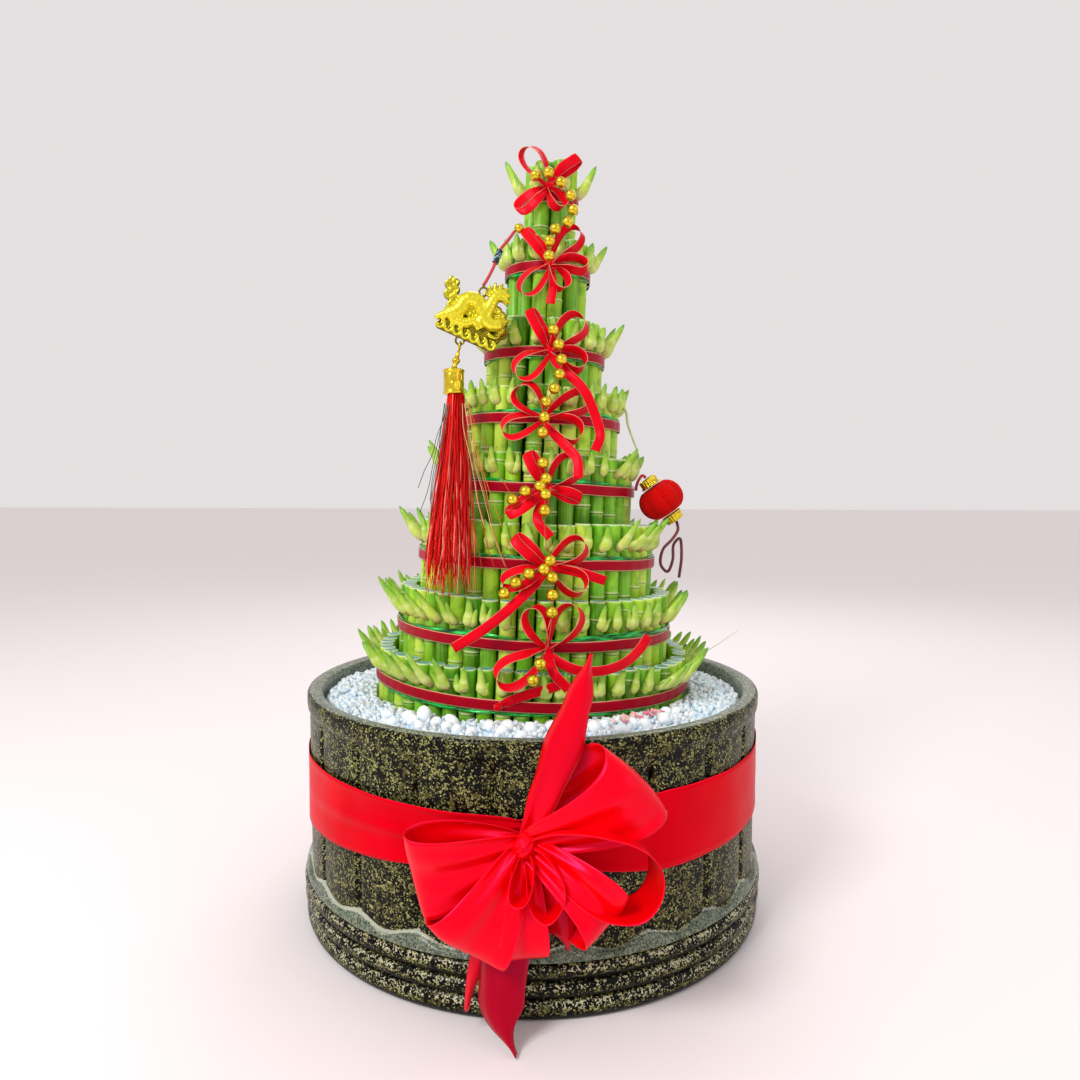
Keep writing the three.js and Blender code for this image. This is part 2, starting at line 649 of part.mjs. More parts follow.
function bigTail(points) {
  const curve = new THREE.CatmullRomCurve3(points.map(([x, y, z]) => new THREE.Vector3(x, y, z)));
  const steps = 2 * (points.length - 1);
  const stations = [];
  for (let i = 0; i <= steps; i += 1) {
    const along = curve.getTangent(i / steps);
    const across = new THREE.Vector3(-along.z, 0, along.x).normalize();
    const before = points[Math.floor(i / 2)][3];
    const after = points[Math.ceil(i / 2)][3];
    stations.push({ at: curve.getPoint(i / steps), across, width: (before + after) / 2 });
  }
  return ribbonAlong(stations, BIG_SATIN.thick);
}

function makePotBow() {
  const knot = new THREE.IcosahedronGeometry(1, 0);
  knot.scale(11, 8, 12);
  knot.translate(BIG_KNOT.x, BIG_KNOT.y, BIG_KNOT.z);
  const loops = [...BIG_LOOPS.map(bigLoop), rolledLoop(ROLLED_LOOP)];
  return geometryOf(fuse([knot, ...loops, ...BIG_TAILS.map(bigTail)]).simplify(BIG_SATIN.sliver));
}

// The charm: a gold plate cut as a curled dragon over a row of cloud scrolls, with its back, tail
// and crest raised on it, an eye at the top for the cord and one below for the tassel.
function makeCharm() {
  const outline = [
    [-24, -2], [-17, 3], [-18, 10], [-17, 18], [-14, 24], [-9, 20], [-7, 12], [-1, 13], [5, 14],
    [10, 18], [15, 21], [21, 17], [26, 11], [21, 7], [20, -3], [18, -8], [11, -11], [10, -18],
    [7, -20], [-3, -15], [-13, -10], [-22, -7],
  ];
  const shape = new THREE.Shape(outline.map(([x, z]) => new THREE.Vector2(x, z)));
  const plate = new THREE.ExtrudeGeometry(shape, { depth: CHARM.thick, bevelEnabled: false });
  plate.rotateX(Math.PI / 2);
  plate.translate(0, CHARM.thick / 2, 0);
  const pieces = [plate];
  const lump = (x, z, across, tall, deep) => {
    const ball = across > 3 ? new THREE.IcosahedronGeometry(1, 0) : new THREE.OctahedronGeometry(1, 0);
    ball.scale(across, deep, tall);
    ball.rotateY(THREE.MathUtils.degToRad(28));
    ball.translate(x, -CHARM.thick / 2, z);
    pieces.push(ball);
  };
  lump(-1, 3, 11, 8, 5);
  lump(-13, 6, 4.5, 4.5, 4);
  lump(-14, 13, 4, 4, 3.5);
  lump(-13.5, 20, 3.6, 3.6, 3);
  lump(14, 9, 6, 6, 4.5);
  lump(12, -3, 5.5, 4.5, 4);
  for (let i = 0; i < 6; i += 1) {
    lump(-19 + i * 5.4, -4.5 - i * 2.7, 2.8, 2.8, 2.8);
  }
  for (let i = 0; i < 3; i += 1) {
    const spike = new THREE.ConeGeometry(2, 9, 4);
    spike.translate(0, 4.5, 0);
    spike.rotateX(Math.PI / 2);
    spike.rotateY(THREE.MathUtils.degToRad(-30 + i * 36));
    spike.translate(14, -0.5, 13);
    pieces.push(spike);
  }
  for (const [x, z] of [[5, 15.5], [-9.6, -14]]) {
    const eye = new THREE.TorusGeometry(2.6, 0.9, 4, 6);
    eye.rotateX(Math.PI / 2);
    eye.translate(x, 0, z);
    pieces.push(eye);
  }
  return geometryOf(fuse(pieces));
}

// The small gold link that hangs in the charm's lower eye: an eye of its own, a bead and a foot.
function makeLink() {
  const eye = new THREE.TorusGeometry(2.7, 0.5, 4, 8);
  eye.rotateY(Math.PI / 2);
  eye.translate(0, 0, LINK.length);
  const foot = [[0, 0.9], [1.7, 0.9], [1.1, 2.4], [2.5, 5.4], [1.1, 8.4], [0, LINK.length - 2.2]];
  return geometryOf(fuse([eye, lathe(foot, 6)]));
}

function makeCap() {
  const { radius, height } = CAP;
  return lathe([
    [0, -height], [radius, -height], [radius + 0.6, -height + 1.2], [radius - 0.3, -height + 2.6],
    [radius - 0.3, -2.4], [radius + 0.4, -1.2], [radius - 0.6, 0], [0, 0],
  ], 12);
}

// The tassel: silk strands hanging from the cap as one fluted bundle, wider and ragged at its end.
function makeTassel() {
  const { top, bottom, x, flutes } = TASSEL;
  const random = randomFrom(31);
  // Each level: how far down, half width, half depth, and where its middle is from front to back
  const levels = [
    [0, 5.2, 5.2, -53.6], [0.24, 8.4, 6.2, -60], [0.56, 12, 7, -72], [0.82, 14.4, 8, -83],
    [1, 15.5, 8.6, -87],
  ];
  const rings = levels.map(([down, across, deep, y]) => {
    const ring = [];
    for (let k = 0; k < flutes * 2; k += 1) {
      const angle = (Math.PI * k) / flutes;
      const swell = 1 + (k % 2 === 0 ? 0.5 : -0.5) * (0.1 + 0.22 * down);
      const ragged = down === 1 ? (random() - 0.3) * 7 : 0;
      ring.push(new THREE.Vector3(
        x + across * swell * Math.cos(angle),
        y + deep * swell * Math.sin(angle),
        THREE.MathUtils.lerp(top, bottom, down) + ragged,
      ));
    }
    return ring;
  });
  return loft(rings.reverse());
}

// The lantern: a squashed flocked ball between two serrated gold caps, on a tilted axis.
function makeLanternBall() {
  const ball = new THREE.SphereGeometry(1, 12, 7);
  ball.scale(LANTERN.across, LANTERN.along, LANTERN.across);
  return ball;
}

function makeLanternCap(side) {
  const { along, cap, capHeight } = LANTERN;
  const near = along + GAP;
  const geometry = lathe([[0, near], [cap, near], [cap - 0.5, near + capHeight], [0, near + capHeight]], 10);
  geometry.rotateX(side > 0 ? -Math.PI / 2 : Math.PI / 2);
  return geometry;
}

// The pot and what fills it
add(model, "pot", makePot(), material(COLOUR.glaze, 0.25));
add(model, "gravel", makeGravel(), material(COLOUR.gravel, 0.7));

// The tiers, with their tapes and ribbons
TIERS.forEach((tier, i) => {
  const inside = i + 1 < TIERS.length ? TIERS[i + 1].outer + 0.9 : 0;
  add(tower, tier.name, makeTier(tier, inside, 11 + i), material(COLOUR.stalk, 0.5));
  if (tier.tape) {
    add(tower, `${tier.name}_tape`, makeTape(tier), material(COLOUR.tape, 0.3, 0.4));
  }
  add(tower, `${tier.name}_ribbon`, makeTierRibbon(tier), material(COLOUR.ribbon, 0.4));
});
add(tower, "bead_garland", makeGarland(), material(COLOUR.gold, 0.25, 1));

// The satin ribbon and bow on the pot
add(model, "pot_ribbon", makePotRibbon(), material(COLOUR.satin, 0.35));
add(model, "pot_bow", makePotBow(), material(COLOUR.satin, 0.35));

// The charm on its cord, with its link, cap and tassel
const gold = material(COLOUR.gold, 0.3, 1);
const cordLook = material(COLOUR.cord, 0.7);
add(model, "cord_bead", new THREE.IcosahedronGeometry(3, 1), gold).position.set(-9.7, -29.3, 440.6);
const CHARM_CORD = [
  [-12.4, -30, 438.6], [-16.6, -34, 431.6], [-21.4, -38.5, 424], [-25.2, -42.8, 412.5],
  [-28.8, -47, 404], [-31, -50, 399.4],
];
add(model, "charm_cord", cordAlong(CHARM_CORD, 12, CORD.radius), cordLook);
add(
  model,
  "cord_wrap",
  cordAlong(CHARM_CORD.slice(2, 4), 1, CORD.wrapOuter, CORD.wrapInner),
  material(COLOUR.wrap, 0.6),
);
add(model, "charm", makeCharm(), gold).position.set(CHARM.x, CHARM.y, CHARM.z);
const link = add(model, "charm_link", makeLink(), gold);
link.position.set(CAP.x, CAP.y, CAP.top);
const towardsEye = new THREE.Vector3(...LINK.eye).sub(link.position).normalize();
link.quaternion.setFromUnitVectors(new THREE.Vector3(0, 0, 1), towardsEye);
add(model, "tassel_cap", makeCap(), gold).position.set(CAP.x, CAP.y, CAP.top);
add(model, "tassel", makeTassel(), material(COLOUR.tassel, 0.6));

// The lantern, hung on a cord from the ribbon of tier 5, with a loose looped cord below it
const lantern = new THREE.Group();
lantern.position.set(LANTERN.x, LANTERN.y, LANTERN.z);
lantern.rotation.set(Math.PI / 2, 0, 0);
lantern.rotateZ(THREE.MathUtils.degToRad(LANTERN.lean));
model.add(lantern);
add(lantern, "lantern", makeLanternBall(), material(COLOUR.flock, 0.9));
add(lantern, "lantern_cap_upper", makeLanternCap(1), gold);
add(lantern, "lantern_cap_lower", makeLanternCap(-1), gold);
const HANGER = [
  [73.8, -21, 282.8], [71.6, -21, 284.4], [69, -20.6, 281], [67.8, -20, 277.4], [67.5, -19.8, 274.4],
];
add(model, "lantern_hanger", cordAlong(HANGER, 6, CORD.radius), cordLook);
const LANTERN_CORD = [
  [94.4, -21, 254.4], [95, -23, 249], [91, -26, 243], [84.6, -27, 236], [83.4, -26.4, 226],
  [88, -25.6, 221.4], [91.4, -25, 229], [92.4, -22.4, 239], [96.8, -20, 243], [98, -20.6, 231],
  [96.4, -21, 217],
];
add(model, "lantern_cord", cordAlong(LANTERN_CORD, 20, CORD.radius), cordLook);

export default model;
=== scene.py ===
# A lucky bamboo tower tied with red ribbon and hung with charms, in a glazed pot of white gravel.
# Lengths here are in millimetres, in the part's own frame, and each mesh is turned into metres as
# it is finished. The front is towards -Y.
import math
import random

import bmesh
import bpy
from mathutils import Matrix, Quaternion, Vector, noise


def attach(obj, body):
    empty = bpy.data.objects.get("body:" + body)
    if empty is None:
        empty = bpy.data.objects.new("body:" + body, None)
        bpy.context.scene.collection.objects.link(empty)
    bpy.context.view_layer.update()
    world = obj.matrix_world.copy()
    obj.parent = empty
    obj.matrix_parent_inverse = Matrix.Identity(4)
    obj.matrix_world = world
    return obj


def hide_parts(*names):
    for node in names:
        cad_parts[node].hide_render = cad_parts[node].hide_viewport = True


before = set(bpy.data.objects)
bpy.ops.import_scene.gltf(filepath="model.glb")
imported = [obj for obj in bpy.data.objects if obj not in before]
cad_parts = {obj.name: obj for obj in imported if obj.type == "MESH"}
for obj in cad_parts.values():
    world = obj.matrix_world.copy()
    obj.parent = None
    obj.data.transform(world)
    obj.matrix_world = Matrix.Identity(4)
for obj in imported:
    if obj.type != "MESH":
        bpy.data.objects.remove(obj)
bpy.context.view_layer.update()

MM = 0.001
FRONT = Vector((0, -1, 0))

# The camera stands a little above the pot and looks slightly down at it. The floor is plain and
# pale, under one big soft light from the front left, a weaker one from the right and a pale glow.
CAMERA = {"place": (0, -0.548, 0.2691), "lens": 26.67, "down": 0.0519, "turn": -0.0082, "roll": 0.0029,
          "sensor": 36, "nearest": 0.01}
LIGHTS = [
    {"name": "key", "place": (-0.75, -1.0, 1.15), "size": 0.45, "watts": 15},
    {"name": "fill", "place": (1.1, -0.8, 0.7), "size": 0.8, "watts": 2},
    {"name": "back", "place": (0.3, 1.1, 1.2), "size": 0.9, "watts": 5},
]
LOOK_AT = Vector((0, 0, 0.2))
FLOOR_SIZE = 40
FLOOR_COLOUR = (0.88, 0.82, 0.82, 1)
GLOW = {"Color": (1, 0.955, 0.96, 1), "Strength": 0.78}

scene = bpy.context.scene
camera = bpy.data.objects.new("camera", bpy.data.cameras.new("camera"))
scene.collection.objects.link(camera)
camera.data.lens = CAMERA["lens"]
camera.data.sensor_width = CAMERA["sensor"]
camera.data.clip_start = CAMERA["nearest"]
camera.matrix_world = (
    Matrix.Translation(CAMERA["place"])
    @ Matrix.Rotation(CAMERA["turn"], 4, "Z")
    @ Matrix.Rotation(math.pi / 2 - CAMERA["down"], 4, "X")
    @ Matrix.Rotation(CAMERA["roll"], 4, "Z")
)
scene.camera = camera
scene.view_settings.view_transform = "Standard"

for light in LIGHTS:
    lamp = bpy.data.objects.new(light["name"], bpy.data.lights.new(light["name"], "AREA"))
    scene.collection.objects.link(lamp)
    lamp.data.size = light["size"]
    lamp.data.energy = light["watts"]
    lamp.location = light["place"]
    lamp.rotation_euler = (LOOK_AT - lamp.location).to_track_quat("-Z", "Y").to_euler()
scene.world = bpy.data.worlds.new("glow")
scene.world.use_nodes = True
for socket, value in GLOW.items():
    scene.world.node_tree.nodes["Background"].inputs[socket].default_value = value


# The cords are twisted red cord: a short one that the charm hangs from, one that holds the lantern,
# and a darker loose one, doubled back on itself, that hangs free below the lantern.
def colour(hex_code):
    """A colour written as it looks on a screen, as the linear one that a shader takes."""
    parts = [int(hex_code[i:i + 2], 16) / 255 for i in (0, 2, 4)]
    return (*[p / 12.92 if p <= 0.04045 else ((p + 0.055) / 1.055) ** 2.4 for p in parts], 1)


class Value:
    """A number or a colour inside a material. Arithmetic on it adds the nodes that work it out."""

    def __init__(self, finish, socket):
        self.finish = finish
        self.socket = socket

    def maths(self, operation, *terms):
        return self.finish.node("ShaderNodeMath", {"operation": operation}, dict(enumerate(terms)))

    def __add__(self, other):
        return self.maths("ADD", self, other)

    def __sub__(self, other):
        return self.maths("SUBTRACT", self, other)

    def __rsub__(self, other):
        return self.maths("SUBTRACT", other, self)

    def __mul__(self, other):
        return self.maths("MULTIPLY", self, other)

    def __gt__(self, other):
        return self.maths("GREATER_THAN", self, other)

    def __lt__(self, other):
        return self.maths("LESS_THAN", self, other)

    __radd__ = __add__
    __rmul__ = __mul__


class Finish:
    """A material. Its constants are set by name, and node() adds any node and gives its value. A
    colour is given as linear numbers, or by the code that it has on a screen."""

    def __init__(self, name, **constants):
        self.material = bpy.data.materials.new(name)
        self.material.use_nodes = True
        self.tree = self.material.node_tree
        self.shader = self.tree.nodes["Principled BSDF"]
        for socket, value in constants.items():
            self.set(socket.replace("_", " "), value)

    def node(self, kind, settings=None, inputs=None, output=0):
        node = self.tree.nodes.new(kind)
        for name, value in (settings or {}).items():
            if name == "stops":
                while len(node.color_ramp.elements) < len(value):
                    node.color_ramp.elements.new(1)
                for element, (place, shade) in zip(node.color_ramp.elements, value):
                    element.position = place
                    element.color = colour(shade)
            else:
                setattr(node, name, value)
        for name, value in (inputs or {}).items():
            self.feed(node.inputs[name], value)
        return Value(self, node.outputs[output])

    def feed(self, socket, value):
        if isinstance(value, Value):
            self.tree.links.new(value.socket, socket)
        else:
            socket.default_value = colour(value) if isinstance(value, str) else value

    def set(self, name, value):
        self.feed(self.shader.inputs[name], value)

    def mix(self, share, under, over):
        inputs = {0: share, 6: under, 7: over}
        return self.node("ShaderNodeMix", {"data_type": "RGBA"}, inputs, output=2)

    def ramp(self, value, *stops):
        return self.node("ShaderNodeValToRGB", {"stops": stops}, {0: value})

    def mask(self, value, low, high):
        """0 up to the low value, 1 from the high one, and even steps between them."""
        return self.ramp(value, (low, "000000"), (high, "ffffff"))

    def place(self, stretch=(1, 1, 1)):
        """Where a point is on the object, in millimetres, each way divided by the stretch."""
        at = self.node("ShaderNodeTexCoord", output=3)
        size = [1 / MM / s for s in stretch]
        return self.node("ShaderNodeVectorMath", {"operation": "MULTIPLY"}, {0: at, 1: size})

    def cloud(self, size, detail=2, rough=0.5, stretch=(1, 1, 1)):
        """Soft noise between 0 and 1 whose blotches are about this many millimetres across."""
        return self.node("ShaderNodeTexNoise", None, {
            "Vector": self.place(stretch), "Scale": 1 / size, "Detail": detail, "Roughness": rough,
        })

    def painted(self, name, output=2):
        """An attribute painted on the mesh: its colour is output 0, its number 2, its alpha 3."""
        return self.node("ShaderNodeAttribute", {"attribute_name": name}, output=output)

    def split(self, value):
        """The three parts of a colour or a place, as numbers."""
        parts = self.node("ShaderNodeSeparateXYZ", None, {0: value}).socket.node
        return [Value(self, socket) for socket in parts.outputs]

    def off_middle(self):
        """How far across its ribbon a place is from the middle, where an edge is 0.5."""
        across = self.split(self.node("ShaderNodeUVMap"))[1]
        return (across - 0.5).maths("ABSOLUTE", across - 0.5)

    def bump(self, height, depth):
        """Relief of this depth in millimetres."""
        inputs = {"Height": height, "Distance": depth * MM, "Strength": 1}
        self.set("Normal", self.node("ShaderNodeBump", None, inputs))


def lerp(low, high, share):
    return low + (high - low) * share


def smooth_step(value, low, high):
    share = min(max((value - low) / (high - low), 0), 1)
    return share * share * (3 - 2 * share)


CURVE_STEPS = 16


def through(points, steps):
    """A smooth curve through the points, as steps + 1 places at even distances along it."""
    ends = [2 * Vector(points[0]) - Vector(points[1]), 2 * Vector(points[-1]) - Vector(points[-2])]
    knots = [ends[0], *map(Vector, points), ends[1]]
    fine = [knots[1].copy()]
    for before, start, end, after in zip(knots, knots[1:], knots[2:], knots[3:]):
        first, middle, last = [
            math.sqrt((b - a).length) for a, b in ((before, start), (start, end), (end, after))
        ]
        leave = (start - before) / first - (end - before) / (first + middle) + (end - start) / middle
        arrive = (end - start) / middle - (after - start) / (middle + last) + (after - end) / last
        leave *= middle
        arrive *= middle
        for i in range(1, CURVE_STEPS + 1):
            t = i / CURVE_STEPS
            bend = (2 * start - 2 * end + leave + arrive) * t ** 3
            fine.append(start + leave * t + (3 * end - 3 * start - 2 * leave - arrive) * t ** 2 + bend)
    gone = [0]
    for a, b in zip(fine, fine[1:]):
        gone.append(gone[-1] + (b - a).length)
    places = []
    here = 0
    for i in range(steps + 1):
        target = gone[-1] * i / steps
        while here < len(fine) - 2 and gone[here + 1] < target:
            here += 1
        share = (target - gone[here]) / (gone[here + 1] - gone[here])
        places.append(fine[here].lerp(fine[here + 1], min(share, 1)))
    return places


def length_of(path):
    return sum((b - a).length for a, b in zip(path, path[1:]))


def heading(path, i):
    """Which way a path runs at one of its places."""
    return path[min(i + 1, len(path) - 1)] - path[max(i - 1, 0)]


def sheet(along, across, corner):
    """A flat grid whose corners are moved to corner(u, v). Its UV map has u along and v across."""
    shape = bmesh.new()
    shape.loops.layers.uv.new("UVMap")
    bmesh.ops.create_grid(shape, x_segments=along, y_segments=across, size=0.5, calc_uvs=True)
    for vert in shape.verts:
        vert.co = corner(vert.co.x + 0.5, vert.co.y + 0.5)
    return shape


def close_up(shape, gap):
    """Merges points that are nearer than the gap, fills what is open and turns the faces outwards."""
    bmesh.ops.remove_doubles(shape, verts=shape.verts, dist=gap)
    bmesh.ops.holes_fill(shape, edges=[edge for edge in shape.edges if edge.is_boundary])
    bmesh.ops.recalc_face_normals(shape, faces=shape.faces)


# How deep the grooves between a cord's strands are, as a share of its radius
GROOVED = 0.12


def tube(path, radius, sides=8, strands=0, lay=1):
    """A closed tube along a path, of one radius or one for each share of the way. With strands it is
    a cord of that many, which turn once round it in the length of the lay."""
    headings = [heading(path, i).normalized() for i in range(len(path))]
    side = headings[0].orthogonal().normalized()
    frames = []
    gone = 0
    for i, along in enumerate(headings):
        side = (side - along * side.dot(along)).normalized()
        frames.append((path[i], side.copy(), along.cross(side), gone))
        gone += (path[min(i + 1, len(path) - 1)] - path[i]).length

    def corner(u, v):
        at, first, second, reached = frames[round(u * (len(path) - 1))]
        angle = 2 * math.pi * v
        size = radius(u) if callable(radius) else radius
        if strands:
            twist = strands * (angle - 2 * math.pi * reached / lay)
            size *= 1 - GROOVED + GROOVED * math.cos(twist)
        return at + first * math.cos(angle) * size + second * math.sin(angle) * size

    shape = sheet(len(path) - 1, sides, corner)
    close_up(shape, 1e-5)
    return shape


def as_mesh(shape, name):
    """Turns a shape into a mesh, and frees the shape."""
    mesh = bpy.data.meshes.new(name)
    shape.to_mesh(mesh)
    shape.free()
    return mesh


def take_in(shape, mesh):
    """Moves a mesh into a larger shape."""
    shape.from_mesh(mesh)
    bpy.data.meshes.remove(mesh)


def join(shape, part):
    """Moves a small shape into a larger one."""
    take_in(shape, as_mesh(part, "part"))


def add_piece(name, shape, finish, slot, *nodes):
    """Makes a finished piece of the shape. It stands for the named nodes of the part."""
    bmesh.ops.scale(shape, vec=(MM, MM, MM), verts=shape.verts)
    mesh = as_mesh(shape, name)
    mesh.materials.append(finish.material)
    mesh.shade_smooth()
    piece = bpy.data.objects.new(name, mesh)
    scene.collection.objects.link(piece)
    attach(piece, "root")
    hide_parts(*nodes)
    return piece


def cord_finish(name, dark, bright):
    finish = Finish(name, Roughness=0.55, Sheen_Weight=0.4)
    finish.set("Base Color", finish.mix(finish.cloud(0.7, detail=1), dark, bright))
    finish.bump(finish.cloud(0.25, detail=1), 0.1)
    return finish


CORD = {"radius": 1.1, "sides": 12, "strands": 3, "lay": 5}
CHARM_CORD = [
    (-12.4, -30, 438.6), (-16.6, -34, 431.6), (-21.4, -38.5, 424), (-25.2, -42.8, 412.5),
    (-28.8, -47, 404), (-31, -50, 399.4),
]
HANGER = [
    (73.8, -21, 282.8), (71.6, -21, 284.4), (69, -20.6, 281), (67.8, -20, 277.4), (67.5, -19.8, 274.4),
]
LANTERN_CORD = [
    (94.4, -21, 254.4), (95, -23, 249), (91, -26, 243), (84.6, -27, 236), (83.4, -26.4, 226),
    (88, -25.6, 221.4), (91.4, -25, 229), (92.4, -22.4, 239), (96.8, -20, 243), (98, -20.6, 231),
    (96.4, -21, 217),
]


def twisted(path):
    return tube(path, *CORD.values())


red_cord = cord_finish("red cord", "8a0c12", "e0202c")
crimson_cord = cord_finish("crimson cord", "3a0410", "7c0c24")
for name, points, steps in [("charm-cord", CHARM_CORD, 60), ("lantern-hanger", HANGER, 24)]:
    add_piece(name, twisted(through(points, steps)), red_cord, "cord", name.replace("-", "_"))

free_path = through(LANTERN_CORD, 120)
free_cord = add_piece("lantern-tail", twisted(free_path), crimson_cord, "cord", "lantern_cord")
free_path[0] * MM
length_of(free_path) * MM
[point * MM for point in free_path]

# The floor is a plain pale sheet, far wider than the view.
floor_finish = Finish("pale floor", Base_Color=FLOOR_COLOUR, Roughness=0.6, Specular_IOR_Level=0.2)
floor = bpy.data.objects.new("floor", bpy.data.meshes.new("floor"))
floor_shape = bmesh.new()
bmesh.ops.create_grid(floor_shape, x_segments=1, y_segments=1, size=FLOOR_SIZE / 2)
floor_shape.to_mesh(floor.data)
floor_shape.free()
floor.data.materials.append(floor_finish.material)
scene.collection.objects.link(floor)


# The pot is glazed stoneware, thrown as a tub and fluted: 22 shallow panels between narrow grooves,
# on a foot of three rolls. The glaze is black with dense cream specks and khaki flecks, and it runs
# thin and grey-green on the rim, on the shoulder over the foot and in the grooves.
POT = {"rim": 150, "body": 148.4, "flutes": 22, "floor": 14}
PANEL = {
    "columns": 14, "drawn_in": 0.62, "bulge": 0.5, "uneven": 0.0016, "foot": (36.4, 40),
    "head": (131, 135),
}
GROOVE = {"depth": 3.4, "half": 3.0}
ROLLS = [(0, 12, 151.4), (12, 21.6, 152.3), (21.6, 31.2, 152.6)]
ROLL_DEPTH = 4.4
SHELF = [(151.2, 31.4), (151.6, 32), (151.4, 32.8), (151, 33.8), (150.5, 34.9), (149.8, 36.1)]
SHELF_EDGE = {"height": 37.6, "rise": 1.6, "dip": 4.4, "wander": 0.8}
LIP = {"radius": 145, "height": 144.1, "wide": 4.9, "tall": 2.4}
# How near the axis an outline starts and ends, so that its poles are merged when it is spun
POLE = 0.01


def spin_round(shape, line, steps, gap=0.02, ring=False):
    """Spins a line of points once round the Z axis. A ring's line comes back to its start."""
    edges = [shape.edges.new(pair) for pair in zip(line, line[1:] + line[:ring])]
    bmesh.ops.spin(
        shape, geom=line + edges, cent=(0, 0, 0), axis=(0, 0, 1), dvec=(0, 0, 0),
        angle=2 * math.pi, steps=steps, use_merge=True,
    )
    close_up(shape, gap)


def turned(outline, steps, gap=0.02, ring=False):
    """A shape turned from an outline of places that each have a radius and a height."""
    shape = bmesh.new()
    line = [shape.verts.new((radius, 0, height)) for radius, height in outline]
    spin_round(shape, line, steps, gap, ring)
    return shape


def roll(low, high, outer):
    """The half-round outline of one roll of the foot."""
    steps = 8
    for i in range(steps + 1):
        angle = math.pi * (0.03 + 0.94 * i / steps)
        yield (outer - ROLL_DEPTH * (1 - math.sin(angle)), lerp(low, high, (1 - math.cos(angle)) / 2))


def pot_outline():
    """The pot's section, from the middle of its foot round to the middle of its floor."""
    body = POT["body"]
    waist = body - 0.6
    rim = POT["rim"]
    outline = [(POLE, 0), (146, 0)]
    for low, high, outer in ROLLS:
        outline += roll(low, high, outer)
    outline += [*SHELF, (body + 0.2, 36.8), (body - 0.3, 37.4)]
    outline += [(waist, 38 + 0.6 * i) for i in range(8)]
    outline += [(lerp(waist, body, i / 12), lerp(43, 133, i / 12)) for i in range(13)]
    outline += [(body + 0.3, 134.6), (body + 1.2, 136.4), (rim - 0.1, 138.4), (rim, 141.5)]
    for i in range(7):
        angle = math.pi * i / 6
        radius = LIP["radius"] + LIP["wide"] * math.cos(angle)
        outline.append((radius, LIP["height"] + LIP["tall"] * math.sin(angle)))
    outline += [(140.2, 141), (139.9, 120), (139.8, 60), (139.6, POT["floor"]), (POLE, POT["floor"])]
    return outline


def groove_at(angle):
    """How deep into a groove a place on the body is, from 0 to 1, by its angle from the front."""
    pitch = 2 * math.pi / POT["flutes"]
    off = abs((angle / pitch) % 1 - 0.5) * pitch * POT["body"]
    return 1 - smooth_step(off, 0, GROOVE["half"])


def pooled_shade_and_light_at(height):
    """From 1, glaze pooled in the joints and painted shade under the rolls, to -1, painted light on top.
    """
    for low, high, _ in ROLLS:
        if low <= height < high:
            share = (height - low) / (high - low)
            lean = 1 - smooth_step(share, 0.12, 0.6) - smooth_step(share, 0.5, 0.72)
            return lean + 2 * smooth_step(share, 0.88, 0.98)
    return 0


def make_pot():
    """The pot, with the marks of its glaze, and the painted shade and light on its rolls, painted on it.
    """
    pitch = 2 * math.pi / POT["flutes"]
    shape = turned(pot_outline(), POT["flutes"] * PANEL["columns"])
    # Where the glaze is thin, where the shelf is, its pale crest, and where the glaze has pooled, with
    # painted shade under the rolls and painted light on their tops
    coats = shape.verts.layers.float_color.new("coats")
    for vert in shape.verts:
        radius = math.hypot(vert.co.x, vert.co.y)
        angle = math.atan2(vert.co.x, -vert.co.y)
        height = vert.co.z
        outside = radius > POT["body"] - 4
        inside = not outside and height > POT["floor"]
        # Columns are drawn in towards the grooves, where the shape turns quickly
        angle += PANEL["drawn_in"] * pitch * math.sin(2 * math.pi * angle / pitch) / (2 * math.pi)
        bulge = 0.5 + 0.5 * math.cos(2 * math.pi * angle / pitch)
        if outside:
            on_body = smooth_step(height, *PANEL["foot"]) * (1 - smooth_step(height, *PANEL["head"]))
            radius += on_body * (PANEL["bulge"] * bulge - GROOVE["depth"] * groove_at(angle))
        # The panels run down a little further in their middles, so the shelf's edge is scalloped
        scallop = SHELF_EDGE["rise"] - SHELF_EDGE["dip"] * bulge
        if outside and 34.5 < height < 46:
            height += scallop * (1 - smooth_step(height, 38.2, 46)) * smooth_step(height, 34, 37)
        wander = noise.noise(Vector((math.sin(angle) * 7, math.cos(angle) * 7, height / 12)))
        edge = SHELF_EDGE["height"] + scallop + SHELF_EDGE["wander"] * wander
        thin = 1 if inside else smooth_step(height + 0.3 * wander, 145.6, 146.4)
        shelf = smooth_step(height, 31.4, 32) * (1 - smooth_step(height, edge - 0.4, edge + 0.4))
        crest = smooth_step(1.5 - abs(height - edge + 0.2), 0, 1.1)
        crest *= lerp(1, 0.45 + 0.5 * wander, smooth_step(angle, -0.9, 0.1))
        pooled_shade_and_light = pooled_shade_and_light_at(height) if outside else 0
        vert[coats] = (thin, shelf * outside, max(crest * outside, 0), pooled_shade_and_light)
        swell = noise.noise(Vector((math.sin(angle) * 2, math.cos(angle) * 2, height / 60)))
        radius *= 1 + PANEL["uneven"] * swell
        vert.co = Vector((math.sin(angle) * radius, -math.cos(angle) * radius, height))
    return shape


